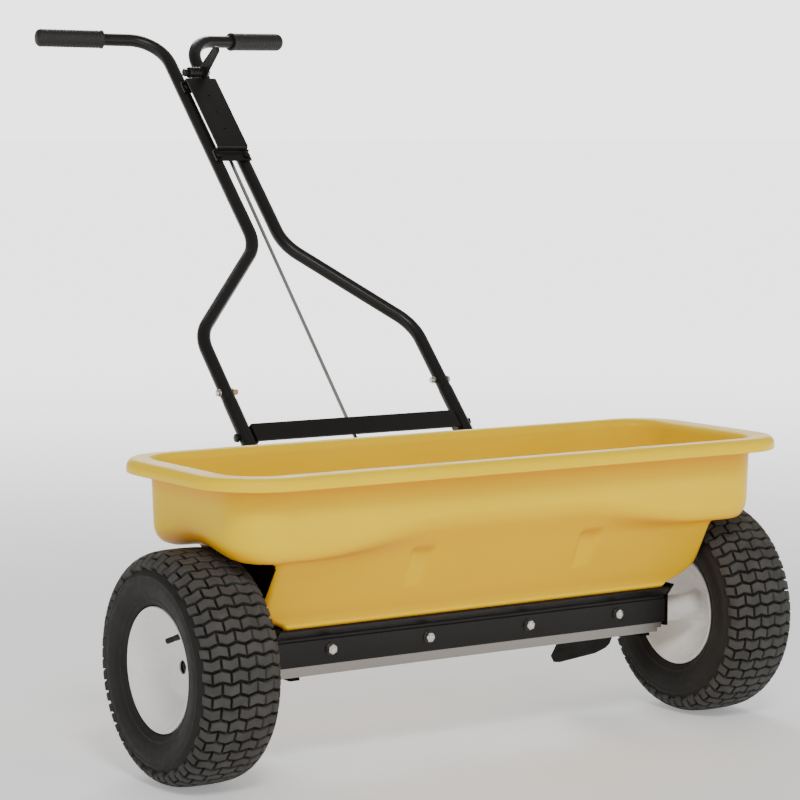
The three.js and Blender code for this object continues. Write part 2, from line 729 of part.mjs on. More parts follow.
function crossbar() {
  const half = STUB_X - STUB_RADIUS - GAP;
  const across = [CROSSBAR_U - CROSSBAR_HEIGHT / 2, CROSSBAR_U + CROSSBAR_HEIGHT / 2];
  const front = [6, 10];
  const tabs = SIDES.map(([, sign]) => {
    const ends = [sign * (half - 4), sign * half].sort((a, b) => a - b);
    return solid(block(ends, across, [-11, 8]));
  });
  const body = tabs.reduce((sum, tab) => sum.add(tab), solid(block([-half, half], across, front)));
  const holes = SIDES.map(([, sign]) => (
    bar([sign * (half - 10), CROSSBAR_U, -3], [sign * (half + 5), CROSSBAR_U, -3], 4.3, 10)
  ));
  return piece('crossbar', cut(body, ...holes), 'blackSteel');
}

function crossbarBolt([side, sign]) {
  const head = STUB_X + STUB_RADIUS + GAP;
  const at = (x) => [sign * x, CROSSBAR_U, -3];
  const body = join(
    bar(at(head), at(head + 5), 7, 6),
    bar(at(head + 0.5), at(STUB_X - STUB_RADIUS - 14), 4, 10),
  );
  return piece(`crossbar_bolt_${side}`, body, 'blackSteel');
}

function crossbarNut([side, sign]) {
  const face = STUB_X - STUB_RADIUS - GAP - 4 - GAP;
  const at = (x) => [sign * x, CROSSBAR_U, -3];
  const body = solid(bar(at(face), at(face - 6), 7, 6));
  return piece(`crossbar_nut_${side}`, cut(body, bar(at(face + 3), at(face - 9), 4.3, 10)), 'blackSteel');
}

// The grip is a closed sleeve with a small collar at its inner end.
function grip([side, sign]) {
  const length = GRIP_END - GRIP_START;
  const profile = [
    [0, length],
    [6, length - 0.6],
    [11, length - 3],
    [GRIP_RADIUS, length - 8],
    [GRIP_RADIUS, 4],
    [GRIP_RADIUS + 0.6, 3],
    [GRIP_RADIUS + 0.6, 0],
    [TUBE_RADIUS + GAP, 0],
    [TUBE_RADIUS + GAP, length - 11],
    [0, length - 11],
  ].reverse();
  const body = new THREE.LatheGeometry(profile.map(([r, y]) => new THREE.Vector2(r, y)), 14);
  const direction = GRIP_DIRECTION.clone().normalize();
  direction.x *= sign;
  const turn = new THREE.Quaternion().setFromUnitVectors(new THREE.Vector3(0, 1, 0), direction);
  const start = new THREE.Vector3(sign * WAIST_X, TOP_BEND_U, 0).addScaledVector(direction, GRIP_START);
  body.applyQuaternion(turn).translate(start.x, start.y, start.z);
  return piece(`grip_${side}`, body, 'softRubber');
}

// ---- Control bracket, lever, rod and rocker ----------------------------------------------

function bracketBoltPlaces() {
  return [['lower', BRACKET_BOTTOM_U - 9], ['upper', BRACKET_TOP_U - 12]];
}

// A folded plate that stands off the two tubes, open at its sides, with an ear for the lever.
function controlBracket() {
  const half = BRACKET_HALF_WIDTH + 5;
  const foot = TUBE_RADIUS + GAP;
  const low = BRACKET_BOTTOM_U;
  const high = BRACKET_TOP_U;
  const section = outline([
    [low - 18, foot],
    [low + PLATE, foot],
    [low + PLATE, BRACKET_FRONT_N - PLATE],
    [high - PLATE, BRACKET_FRONT_N - PLATE],
    [high - PLATE, foot + PLATE],
    [high - 21, foot + PLATE],
    [high - 21, foot],
    [high, foot],
    [high, BRACKET_FRONT_N - 2],
    [high - 2, BRACKET_FRONT_N],
    [low + 5, BRACKET_FRONT_N],
    [low, BRACKET_FRONT_N - 5],
    [low, foot + PLATE],
    [low - 18, foot + PLATE],
  ]);
  const ear = outline([
    [high - PLATE, foot],
    [high + 8, foot],
    [high + 24, PIVOT_N - 8],
    [high + 27, PIVOT_N],
    [high + 25, PIVOT_N + 6],
    [high + 20, PIVOT_N + 10],
    [high + 13, PIVOT_N + 10.5],
    [high + 6, PIVOT_N + 8.5],
    [high - PLATE, BRACKET_FRONT_N - 1],
  ]);
  const body = join(alongX(section, -half, half), alongX(ear, -19.6, -16.6));
  const trim = SIDES.map(([, sign]) => {
    const beyond = [sign * BRACKET_HALF_WIDTH, sign * 40].sort((a, b) => a - b);
    return block(beyond, [low - 2, high + 2], [BRACKET_FRONT_N - 9, 40]);
  });
  const holes = [0.26, 0.5, 0.74].map((f) => {
    const u = low + f * (high - low);
    return bar([0, u, 10], [0, u, 35], 2.2, 10);
  });
  const boltPlaces = bracketBoltPlaces().flatMap(([, u]) => [-WAIST_X, WAIST_X].map((x) => [x, u]));
  const boltCuts = boltPlaces.map(([x, u]) => bar([x, u, 0], [x, u, 18], 3.3, 10));
  const pivotHole = bar([-25, PIVOT_U, PIVOT_N], [-12, PIVOT_U, PIVOT_N], 4.3, 12);
  return piece('control_bracket', cut(body, ...trim, ...holes, ...boltCuts, pivotHole), 'blackSteel');
}

function bracketBolt(place, u, [side, sign]) {
  const seat = TUBE_RADIUS + GAP + PLATE + GAP;
  const at = (n) => [sign * WAIST_X, u, n];
  const body = join(bar(at(seat), at(seat + 4), 5.6, 6), bar(at(seat + 0.5), at(-TUBE_RADIUS - 4), 3, 10));
  return piece(`bracket_bolt_${place}_${side}`, body, 'blackSteel');
}

// The lever's blade stands out towards the operator's hand, and its short slotted arm reaches
// back between the tubes to the rod.
function lever() {
  const tip = PIVOT_U - LEVER_LEAN;
  const blade = outline([
    [PIVOT_U - 9, PIVOT_N - 4],
    [PIVOT_U + 9, PIVOT_N - 4],
    [PIVOT_U + 8.7, PIVOT_N + 12],
    [tip + 6, PIVOT_N + LEVER_LENGTH - 3],
    [tip + 3, PIVOT_N + LEVER_LENGTH],
    [tip - 3, PIVOT_N + LEVER_LENGTH],
    [tip - 6, PIVOT_N + LEVER_LENGTH - 3],
    [PIVOT_U - 10.3, PIVOT_N + 12],
  ]);
  const arm = outline([
    [PIVOT_U - 8, PIVOT_N],
    [PIVOT_U - 8, PIVOT_N - LEVER_ARM - 8],
    [PIVOT_U - 4, PIVOT_N - LEVER_ARM - 12],
    [PIVOT_U + 4, PIVOT_N - LEVER_ARM - 12],
    [PIVOT_U + 8, PIVOT_N - LEVER_ARM - 8],
    [PIVOT_U + 8, PIVOT_N],
  ]);
  const body = join(
    bar([-16.3, PIVOT_U, PIVOT_N], [8.5, PIVOT_U, PIVOT_N], 9.5, 16),
    alongX(blade, 8, 15),
    alongX(arm, 8, 13),
  );
  const rodN = PIVOT_N - LEVER_ARM;
  const slot = block([5, 20], [PIVOT_U - 4.2, PIVOT_U + 4.2], [rodN - 8, rodN + 4]);
  const bore = bar([-30, PIVOT_U, PIVOT_N], [30, PIVOT_U, PIVOT_N], 4.2, 12);
  return piece('control_lever', cut(body, slot, bore), 'blackSteel');
}

function leverBolt() {
  const at = (x) => [x, PIVOT_U, PIVOT_N];
  const body = join(bar(at(-19.9), at(-24.6), 7, 6), bar(at(-20.1), at(24), 4, 12));
  return piece('lever_bolt', body, 'blackSteel');
}

function leverNut() {
  const at = (x) => [x, PIVOT_U, PIVOT_N];
  return piece('lever_nut', cut(solid(bar(at(15.3), at(21.5), 7, 6)), bar(at(10), at(26), 4.3, 12)), 'zinc');
}

const ROD_HIGH = handlePoint(0, PIVOT_U, PIVOT_N - LEVER_ARM);
const ROD_DIRECTION = ROD_HIGH.clone().sub(ROD_LOW).normalize();
const ROCKER_PIVOT = new THREE.Vector3(
  0,
  ROD_LOW.y + ROCKER_ARM * ROD_DIRECTION.z,
  ROD_LOW.z - ROCKER_ARM * ROD_DIRECTION.y,
);

// One bright bar, its ends bent square to hook into the lever and the rocker.
function controlRod() {
  const corners = [
    ROD_LOW.clone().setX(11.5),
    ROD_LOW.clone(),
    ROD_HIGH.clone(),
    ROD_HIGH.clone().setX(15),
  ];
  const path = new BentPath(corners, [4.5, 4.5], 4);
  return piece('control_rod', sweep(path, ROD_RADIUS, 0, 5), 'bareSteel');
}

// A bell crank: one slotted arm hooks on the rod, the other reaches down into the shutter.
function rocker() {
  const { y, z } = ROCKER_PIVOT;
  const armY = ROD_LOW.y - y;
  const armZ = ROD_LOW.z - z;
  const reach = (ROCKER_ARM + 9) / ROCKER_ARM;
  const along = new THREE.Vector2(armY, armZ).normalize();
  const side = new THREE.Vector2(-along.y, along.x).multiplyScalar(8);
  const arm = outline([
    [y - side.x, z - side.y],
    [y + side.x, z + side.y],
    [y + armY * reach + side.x * 0.9, z + armZ * reach + side.y * 0.9],
    [y + armY * reach - side.x * 0.9, z + armZ * reach - side.y * 0.9],
  ]);
  const tongue = outline([
    [y - 8, z],
    [y - 4, 146],
    [y - 4, 135.5],
    [y + 4, 135.5],
    [y + 4, 146],
    [y + 8, z],
  ]);
  const half = ROCKER_THICKNESS / 2;
  const body = join(
    alongX(arm, 5, 5 + ROCKER_THICKNESS),
    bar([-half, y, z], [5 + ROCKER_THICKNESS, y, z], 8.5, 16),
    alongX(tongue, -half, half),
  );
  const from = new THREE.Vector2(y, z).addScaledVector(along, ROCKER_ARM - 4.5);
  const to = new THREE.Vector2(y, z).addScaledVector(along, ROCKER_ARM + 6);
  const across = side.clone().normalize().multiplyScalar(3.8);
  const slot = alongX(outline([
    [from.x - across.x, from.y - across.y],
    [from.x + across.x, from.y + across.y],
    [to.x + across.x, to.y + across.y],
    [to.x - across.x, to.y - across.y],
  ]), 0, 15);
  return piece('rocker', cut(body, slot, bar([-10, y, z], [15, y, z], 4.2, 12)), 'blackSteel');
}

// Two ears on the rear rail carry the rocker's bolt.
function rockerBracket() {
  const { y, z } = ROCKER_PIVOT;
  const ear = outline([
    [38.4, z - 10],
    [y, z - 10],
    [y + 9, z - 4],
    [y + 9, z + 4],
    [y, z + 10],
    [38.4, z + 10],
  ]);
  const body = join(
    block([-15, 15], [38.4, 41.4], [z - 10, z + 10]),
    alongX(ear, -15, -12),
    alongX(ear, 12, 15),
  );
  return piece('rocker_bracket', cut(body, bar([-20, y, z], [20, y, z], 4.2, 12)), 'blackSteel');
}

function rockerBolt() {
  const at = (x) => [x, ROCKER_PIVOT.y, ROCKER_PIVOT.z];
  return piece('rocker_bolt', join(bar(at(15.3), at(20), 6.6, 6), bar(at(15.8), at(-20), 3.9, 12)), 'zinc');
}

// ---- Assembly ----------------------------------------------------------------------------

function chassis() {
  const group = new THREE.Group();
  group.add(hopper(), frontRail(), rearRail(), bottomPlate(), ...railBolts(), rockerBracket(), rockerBolt());
  SIDES.forEach((where) => {
    group.add(endPlate(where), axleBush(where), shutterGuide(where), standLeg(where));
  });
  return group;
}

function runningGear() {
  const group = new THREE.Group();
  group.add(axle(), agitator(), axleRing(), crossPin('agitator_pin', 0, 15), crossPin('wheel_pin', 372, 24));
  SIDES.forEach((where) => group.add(tyre(where), rim(where), valveStem(where)));
  return group;
}

function handle() {
  const group = new THREE.Group();
  group.position.y = HANDLE_ROOT_Y;
  group.rotation.x = HANDLE_ANGLE;
  group.add(crossbar(), controlBracket(), lever(), leverBolt(), leverNut());
  SIDES.forEach((where) => {
    group.add(lowerTube(where), upperTube(where), grip(where), jointBolt(where), jointNut(where));
    group.add(crossbarBolt(where), crossbarNut(where));
    bracketBoltPlaces().forEach(([place, u]) => group.add(bracketBolt(place, u, where)));
  });
  return group;
}

function controls() {
  const group = new THREE.Group();
  group.add(controlRod(), rocker(), shutter());
  return group;
}

const spreader = new THREE.Group();
spreader.position.y = ORIGIN_SHIFT_Y;
spreader.add(chassis(), runningGear(), handle(), controls());

export default spreader;
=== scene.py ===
import math

import bmesh
import bpy
import numpy as np
from mathutils import Matrix, Vector


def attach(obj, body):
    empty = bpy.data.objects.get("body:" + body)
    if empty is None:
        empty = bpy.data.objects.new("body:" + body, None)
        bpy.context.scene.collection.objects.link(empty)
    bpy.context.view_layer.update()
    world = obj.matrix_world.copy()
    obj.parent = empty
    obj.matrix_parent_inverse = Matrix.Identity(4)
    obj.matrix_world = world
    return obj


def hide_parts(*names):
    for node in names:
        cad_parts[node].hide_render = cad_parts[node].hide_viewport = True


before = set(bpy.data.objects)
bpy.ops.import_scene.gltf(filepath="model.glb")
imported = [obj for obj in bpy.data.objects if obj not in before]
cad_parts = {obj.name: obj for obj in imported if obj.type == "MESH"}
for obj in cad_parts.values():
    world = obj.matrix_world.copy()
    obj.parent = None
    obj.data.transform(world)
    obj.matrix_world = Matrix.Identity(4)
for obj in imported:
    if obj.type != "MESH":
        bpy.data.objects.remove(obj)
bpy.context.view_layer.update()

# ---- Shared sizes, in millimetres, in a frame whose Y starts at the axle -------------------

SHIFT_Y = -366.3
AXLE_Z = 165.0
WHEEL_X = 457.4
SIDES = (("left", -1), ("right", 1))

HANDLE_ANGLE = math.atan2(1, 0.9514)
HANDLE_COS, HANDLE_SIN = math.cos(HANDLE_ANGLE), math.sin(HANDLE_ANGLE)
HANDLE_ROOT_Y = -136.9
STUB_X = 199.3
TUBE_RADIUS = 10.6
STUB_RADIUS = 11.2
WAIST_X = 25.9
TOP_BEND_U = 1450.7
GRIP_DIRECTION = Vector((0.9804, 0.145, -0.1326)).normalized()
PIVOT_U, PIVOT_N = 1355.5, 22.0
CROSSBAR_U = 611.0
GRIP_START, GRIP_END = 100.5, 216.0
ROD_LOW = Vector((0, 62.4, 182))


def on_handle(x, u, n):
    """A point given across, up and out of the handle's plane."""
    y = u * HANDLE_COS - n * HANDLE_SIN + HANDLE_ROOT_Y
    return Vector((x, y, u * HANDLE_SIN + n * HANDLE_COS))


ROD_HIGH = on_handle(0, PIVOT_U, PIVOT_N - 15)

# ---- Materials -----------------------------------------------------------------------------


def surface(name, color, roughness, metallic=0.0, spread=0.06, patch=9.0, grain=900.0,
            relief=0.05, stretch=(1, 1, 1), coat=0.0, rough_spread=0.06, specular=0.5):
    """A surface with slow colour patches, a changing sheen and a fine relief."""
    material = bpy.data.materials.new(name)
    material.use_nodes = True
    nodes, links = material.node_tree.nodes, material.node_tree.links
    shader = nodes["Principled BSDF"]
    shader.inputs["Metallic"].default_value = metallic
    shader.inputs["Coat Weight"].default_value = coat
    shader.inputs["Coat Roughness"].default_value = 0.12
    shader.inputs["Specular IOR Level"].default_value = specular
    place = nodes.new("ShaderNodeTexCoord")
    scale = nodes.new("ShaderNodeMapping")
    scale.inputs["Scale"].default_value = stretch
    links.new(place.outputs["Object"], scale.inputs["Vector"])

    def noise(size, detail):
        texture = nodes.new("ShaderNodeTexNoise")
        texture.inputs["Scale"].default_value = size
        texture.inputs["Detail"].default_value = detail
        links.new(scale.outputs["Vector"], texture.inputs["Vector"])
        return texture.outputs["Fac"]

    def ranged(source, low, high):
        node = nodes.new("ShaderNodeMapRange")
        node.inputs["From Min"].default_value = 0.3
        node.inputs["From Max"].default_value = 0.7
        node.inputs["To Min"].default_value = low
        node.inputs["To Max"].default_value = high
        links.new(source, node.inputs["Value"])
        return node.outputs["Result"]

    mix = nodes.new("ShaderNodeMix")
    mix.data_type = "RGBA"
    mix.inputs["A"].default_value = (*[c * (1 - spread) for c in color], 1)
    mix.inputs["B"].default_value = (*[c * (1 + spread) for c in color], 1)
    links.new(ranged(noise(patch, 4), 0, 1), mix.inputs["Factor"])
    links.new(mix.outputs["Result"], shader.inputs["Base Color"])
    sheen = ranged(noise(patch * 4, 3), roughness - rough_spread, roughness + rough_spread)
    links.new(sheen, shader.inputs["Roughness"])
    bump = nodes.new("ShaderNodeBump")
    bump.inputs["Strength"].default_value = relief
    bump.inputs["Distance"].default_value = 0.001
    links.new(noise(grain, 3), bump.inputs["Height"])
    links.new(bump.outputs["Normal"], shader.inputs["Normal"])
    return material


def paint_shade(material, color):
    """Paints shade into the colour: turns it towards a deeper one in corners and creases, by ambient
    occlusion, and where the surface faces down, where shade falls.
    """
    nodes, links = material.node_tree.nodes, material.node_tree.links
    base = nodes["Principled BSDF"].inputs["Base Color"]
    geometry = nodes.new("ShaderNodeNewGeometry")
    split = nodes.new("ShaderNodeSeparateXYZ")
    # Painted shade on faces turned down, stronger the more they face the floor.
    share = nodes.new("ShaderNodeMapRange")
    share.inputs["From Min"].default_value = -0.15
    share.inputs["From Max"].default_value = -0.9
    # Painted shade in corners and creases, from ambient occlusion.
    closed = nodes.new("ShaderNodeAmbientOcclusion")
    closed.samples = 8
    closed.inputs["Distance"].default_value = 0.05
    corner = nodes.new("ShaderNodeMapRange")
    corner.inputs["From Min"].default_value = 0.95
    corner.inputs["From Max"].default_value = 0.55
    painted_shade_amount = nodes.new("ShaderNodeMath")
    painted_shade_amount.operation = "MAXIMUM"
    mix = nodes.new("ShaderNodeMix")
    mix.data_type = "RGBA"
    mix.inputs["B"].default_value = (*color, 1)
    links.new(geometry.outputs["Normal"], split.inputs[0])
    links.new(split.outputs["Z"], share.inputs["Value"])
    links.new(closed.outputs["AO"], corner.inputs["Value"])
    links.new(share.outputs["Result"], painted_shade_amount.inputs[0])
    links.new(corner.outputs["Result"], painted_shade_amount.inputs[1])
    links.new(painted_shade_amount.outputs["Value"], mix.inputs["Factor"])
    links.new(base.links[0].from_socket, mix.inputs["A"])
    links.new(mix.outputs["Result"], base)


YELLOW = surface("polyethylene", (0.95, 0.63, 0.0), 0.36, spread=0.03, patch=5, grain=700,
                 relief=0.04, rough_spread=0.05, specular=0.14)
# Painted shade: a deep orange mixed into the yellow in corners and on faces turned down.
paint_shade(YELLOW, (0.78, 0.34, 0.0))
BLACK = surface("powder_coat", (0.009, 0.008, 0.007), 0.33, grain=1500, relief=0.12, specular=0.24)
DULL_BLACK = surface("dull_black", (0.003, 0.0025, 0.002), 0.5, grain=1200, relief=0.15,
                     specular=0.05)
STAINLESS = surface("stainless", (0.30, 0.28, 0.26), 0.38, 1.0, grain=1200, relief=0.05,
                    stretch=(0.05, 1, 1))
ZINC = surface("zinc", (0.62, 0.60, 0.55), 0.3, 1.0, spread=0.12, patch=60, grain=1500, relief=0.08)
COPPERY = surface("coppery_zinc", (0.50, 0.33, 0.17), 0.35, 1.0, spread=0.12, patch=60,
                  relief=0.08)
ROD_STEEL = surface("drawn_steel", (0.45, 0.43, 0.40), 0.28, 1.0, grain=2000, relief=0.04)
DARK_STEEL = surface("dark_steel", (0.05, 0.048, 0.045), 0.45, 0.8, spread=0.15, patch=40,
                     relief=0.08)
WHITE = surface("white_enamel", (0.88, 0.86, 0.83), 0.3, spread=0.02, patch=14, grain=900, relief=0.02,
                coat=0.3)
RUBBER = surface("tyre_rubber", (0.019, 0.017, 0.015), 0.6, spread=0.16, patch=22, grain=1400,
                 relief=0.16, specular=0.2)
TREAD_RUBBER = surface("tread_rubber", (0.062, 0.059, 0.054), 0.7, spread=0.2, patch=40, grain=1400,
                       relief=0.2, specular=0.2)
GRIP_RUBBER = surface("grip_rubber", (0.012, 0.011, 0.010), 0.55, spread=0.1, patch=30, grain=1100,
                      relief=0.3, specular=0.35)
BRONZE = surface("bronze", (0.42, 0.26, 0.11), 0.4, 1.0, spread=0.1, patch=40, relief=0.1)
FLOOR = surface("floor", (0.86, 0.86, 0.86), 0.75, spread=0.008, patch=2, grain=200, relief=0.02)

# ---- Building helpers ----------------------------------------------------------------------


def piece(name, parts, body, replaced=(), sharp=35, bevel=0.0):
    """One object from (points, faces, material) parts, in millimetres."""
    points, faces, owners, materials = [], [], [], []
    for part_points, part_faces, material in parts:
        if material not in materials:
            materials.append(material)
        start = len(points)
        points.extend(tuple(p) for p in part_points)
        faces.extend(tuple(start + i for i in face) for face in part_faces)
        owners.extend([materials.index(material)] * len(part_faces))
    flat = np.array(points, float)
    flat[:, 1] += SHIFT_Y
    mesh = bpy.data.meshes.new(name)
    mesh.from_pydata((flat * 0.001).tolist(), [], faces)
    outwards = bmesh.new()
    outwards.from_mesh(mesh)
    bmesh.ops.recalc_face_normals(outwards, faces=outwards.faces)
    outwards.to_mesh(mesh)
    outwards.free()
    for material in materials:
        mesh.materials.append(material)
    mesh.polygons.foreach_set("material_index", owners)
    mesh.polygons.foreach_set("use_smooth", [True] * len(faces))
    obj = bpy.data.objects.new(name, mesh)
    bpy.context.scene.collection.objects.link(obj)
    if bevel:
        edge = obj.modifiers.new("edge", "BEVEL")
        edge.width = bevel * 0.001
        edge.segments = 3
        edge.limit_method = "ANGLE"
        edge.angle_limit = math.radians(40)
        edge.harden_normals = True
    else:
        mesh.set_sharp_from_angle(angle=math.radians(sharp))
    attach(obj, body)
    if replaced:
        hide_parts(*replaced)
    return obj


def loft(rings, closed=False, caps=False):
    """A skin through equal rings of points."""
    count = len(rings[0])
    faces = []
    for k in range(len(rings) if closed else len(rings) - 1):
        low, high = k * count, (k + 1) % len(rings) * count
        for i in range(count):
            j = (i + 1) % count
            faces.append((low + i, low + j, high + j, high + i))
    if caps:
        faces.append(tuple(reversed(range(count))))
        faces.append(tuple(range((len(rings) - 1) * count, len(rings) * count)))
    return [p for ring in rings for p in ring], faces


def rounded(points, sizes, steps=4, closed=True):
    """A line through points with each corner rounded; arrays of any number of columns."""
    points = np.asarray(points, float)
    count = len(points)
    result = []
    for k in range(count):
        if not closed and k in (0, count - 1):
            result.append(points[k])
            continue
        here, before, after = points[k], points[k - 1], points[(k + 1) % count]
        into, out = here - before, after - here
        long_in = np.linalg.norm(into, axis=-1, keepdims=True)
        long_out = np.linalg.norm(out, axis=-1, keepdims=True)
        reach = np.minimum(sizes[k], 0.45 * np.minimum(long_in, long_out))
        start = here - into / long_in * reach
        end = here + out / long_out * reach
        for step in range(steps + 1):
            t = step / steps
            result.append((1 - t) ** 2 * start + 2 * t * (1 - t) * here + t * t * end)
    return np.array(result)


def axes_for(direction):
    """A unit vector along a direction, and two more at right angles to it."""
    direction = Vector(direction).normalized()
    helper = Vector((1, 0, 0)) if abs(direction.x) < 0.9 else Vector((0, 0, 1))
    first = direction.cross(helper).normalized()
    return direction, first, direction.cross(first)


def turned(profile, origin, direction, sides, closed=False, twist=0.0):
    """Points (radius, distance) turned about a line; the ends are capped unless closed."""
    direction, first, second = axes_for(direction)
    origin = Vector(origin)
    rings = []
    for radius, distance in profile:
        centre = origin + direction * distance
        ring = []
        for i in range(sides):
            angle = 2 * math.pi * (i + twist) / sides
            ring.append(centre + (first * math.cos(angle) + second * math.sin(angle)) * radius)
        rings.append(ring)
    return loft(rings, closed=closed, caps=not closed)


def bent(corners, radii, steps=14):
    """A line of straight runs with round bends."""
    line = [corners[0]]
    for k in range(1, len(corners) - 1):
        into = (corners[k] - corners[k - 1]).normalized()
        out = (corners[k + 1] - corners[k]).normalized()
        turn = into.angle(out)
        start = corners[k] - into * radii[k - 1] * math.tan(turn / 2)
        inwards = (out - into * into.dot(out)).normalized()
        for step in range(steps + 1):
            angle = turn * step / steps
            line.append(start + into * radii[k - 1] * math.sin(angle)
                        + inwards * radii[k - 1] * (1 - math.cos(angle)))
    line.append(corners[-1])
    return line


TUBE_CHAMFER = 0.8


def tube(line, radius, sides):
    """A round bar along a line, with a small chamfer at each end."""
    last = len(line) - 1
    tangents = [(line[min(i + 1, last)] - line[max(i - 1, 0)]).normalized() for i in range(last + 1)]
    across = axes_for(tangents[0])[1]
    rings = []

    def ring(centre, tangent, size):
        second = tangent.cross(across)
        return [centre + (across * math.cos(2 * math.pi * i / sides)
                          + second * math.sin(2 * math.pi * i / sides)) * size for i in range(sides)]

    for k, (centre, tangent) in enumerate(zip(line, tangents)):
        across = (across - tangent * across.dot(tangent)).normalized()
        if k == 0:
            rings.append(ring(centre, tangent, radius - TUBE_CHAMFER))
            rings.append(ring(centre + tangent * TUBE_CHAMFER, tangent, radius))
        elif k == last:
            rings.append(ring(centre - tangent * TUBE_CHAMFER, tangent, radius))
            rings.append(ring(centre, tangent, radius - TUBE_CHAMFER))
        else:
            rings.append(ring(centre, tangent, radius))
    return loft(rings, caps=True)


def prism(outline, low, high, place):
    """An outline of (a, b) points drawn out; place(a, b, c) gives each point."""
    rings = [[place(a, b, low) for a, b in outline], [place(a, b, high) for a, b in outline]]
    return loft(rings, caps=True)


def box(low, high, place):
    """A box between two corners, each given in place's own directions."""
    outline = [(low[0], low[1]), (high[0], low[1]), (high[0], high[1]), (low[0], high[1])]
    return prism(outline, low[2], high[2], place)


def hexagon(origin, direction, radius, thickness, twist=0.0):
    """A bolt head or nut with its outer corners chamfered."""
    chamfer = radius * 0.12
    profile = [(radius - 0.3, 0), (radius, 0.4), (radius, thickness - chamfer * 0.6),
               (radius - chamfer, thickness)]
    return turned(profile, origin, direction, 6, twist=twist)


def disc(origin, direction, radius, thickness, sides=32):
    """A short round bar with both edges chamfered."""
    edge = min(0.5, thickness * 0.3)
    profile = [(radius - edge, 0), (radius, edge), (radius, thickness - edge),
               (radius - edge, thickness)]
    return turned(profile, origin, direction, sides)


def holed(obj, cutters):
    """Cuts simple shapes out of an object."""
    for points, faces in cutters:
        flat = np.array([tuple(p) for p in points], float)
        flat[:, 1] += SHIFT_Y
        mesh = bpy.data.meshes.new("cutter")
        mesh.from_pydata((flat * 0.001).tolist(), [], faces)
        tool = bpy.data.objects.new("cutter", mesh)
        bpy.context.scene.collection.objects.link(tool)
        step = obj.modifiers.new("cut", "BOOLEAN")
        step.object = tool
        step.solver = "EXACT"
        obj.modifiers.move(len(obj.modifiers) - 1, 0)
        bpy.context.view_layer.update()
        others = [m for m in obj.modifiers if m != step]
        for other in others:
            other.show_viewport = False
        done = bpy.data.meshes.new_from_object(obj.evaluated_get(bpy.context.evaluated_depsgraph_get()))
        for other in others:
            other.show_viewport = True
        obj.modifiers.remove(step)
        obj.data = done
        bpy.data.objects.remove(tool)
    return obj


# ---- Hopper --------------------------------------------------------------------------------

LEDGE_Z, WELL_Z, LIP_Z = 320.0, 335.0, 445.4
LIP_CENTRE_Y = -4.0
POCKET_X, POCKET_SHIFT = 149.0, 6.0
POCKET_LOW_Z, POCKET_HEIGHT, POCKET_DEPTH = 262.0, 56.0, 10.0
TROUGH_FACE_Y = -55.0  # the front face of the lower trough lies in front of this
TROUGH_END_X = 389.0  # the ends of the lower trough lie inside this
OUTER_LEDGE_RING, INNER_LEDGE_RING = 7, 20


def smooth(low, high, value):
    """A soft step from 0 at low to 1 at high."""
    t = min(1.0, max(0.0, (value - low) / (high - low)))
    return t * t * (3 - 2 * t)


def lower_edge(x, y):
    """Height of the foot of the upper walls, which rises towards the middle and over the wheels."""
    return 322 + 13 * (1 - smooth(0, 92, abs(y))) + 31 * (1 - smooth(110, 345, abs(x)))


def ledge_edge(x, y):
    """Height of the top of the lower trough, which rises over the wheels."""
    return LEDGE_Z + (WELL_Z - LEDGE_Z) * (1 - smooth(0, 92, abs(y)))


def hopper_columns():
    """X of the columns along the front and back, close together at the two recesses."""
    coarse = [x for x in range(-240, 241, 20) if abs(abs(x) - POCKET_X) > 30]
    fine = [sign * POCKET_X + POCKET_SHIFT + d for sign in (-1, 1) for d in np.arange(-26, 22.1, 2.0)]
    return sorted(coarse + fine)


COLUMNS = hopper_columns()


def hopper_ring(half_length, front_y, rear_y, radius, height):
    """Points round a rectangle with round corners; height is a number or a function of x and y."""
    middle = (front_y + rear_y) / 2
    half_x, half_y = half_length - radius, (rear_y - front_y) / 2 - radius
    ends = list(np.linspace(255, half_x, 9))[:-1]
    along = [-x for x in reversed(ends)] + COLUMNS + ends
    flat = [(-half_x, front_y)] + [(x, front_y) for x in along]

    def corner(sx, sy, first):
        for step in range(11):
            angle = first + step / 10 * math.pi / 2
            yield sx * half_x + radius * math.cos(angle), middle + sy * half_y + radius * math.sin(angle)

    flat += corner(1, -1, -math.pi / 2)
    flat += [(half_length, middle + f * half_y) for f in np.linspace(-1, 1, 12)[1:-1]]
    flat += corner(1, 1, 0)
    flat += [(-x, rear_y) for x in along]
    flat += corner(-1, 1, math.pi / 2)
    flat += [(-half_length, middle - f * half_y) for f in np.linspace(-1, 1, 12)[1:-1]]
    flat += list(corner(-1, -1, math.pi))[:-1]
    return [(x, y, height(x, y) if callable(height) else height) for x, y in flat]


def lip(half_width):
    """Front and rear Y of a ring of the lip."""
    return LIP_CENTRE_Y - half_width, LIP_CENTRE_Y + half_width


def press_in(rows, top_z):
    """Pushes the two recesses into the rows of a front face, deepest at the top, steep on the left."""
    offset = rows[:, :, 0] - np.where(rows[:, :, 0] < 0, -POCKET_X, POCKET_X) - POCKET_SHIFT
    up = np.clip((rows[:, :, 2] - POCKET_LOW_Z) / POCKET_HEIGHT, 0, 1)
    across = np.clip(np.minimum((offset + 21 + 4 * up) / 9, (21 - offset) / 14), 0, 1)
    top = np.clip((top_z - rows[:, :, 2]) / 4, 0, 1)
    depth = POCKET_DEPTH * across ** 2 * (3 - 2 * across) * top ** 2 * (3 - 2 * top) * up
    rows[:, :, 1] += depth * (rows[:, :, 1] < TROUGH_FACE_Y)


def paint_shade_on_trough_ends(mesh):
    """Paints shade: the outside of the narrow lower trough at both ends is given the dull black material,
    standing in for the deep shade between the tyres and the trough.
    """
    mesh.materials.append(DULL_BLACK)
    for face in mesh.polygons:
        outwards = face.normal.x * math.copysign(1, face.center.x)
        if outwards > 0.8 and abs(face.center.x) * 1000 < TROUGH_END_X:
            face.material_index = 1


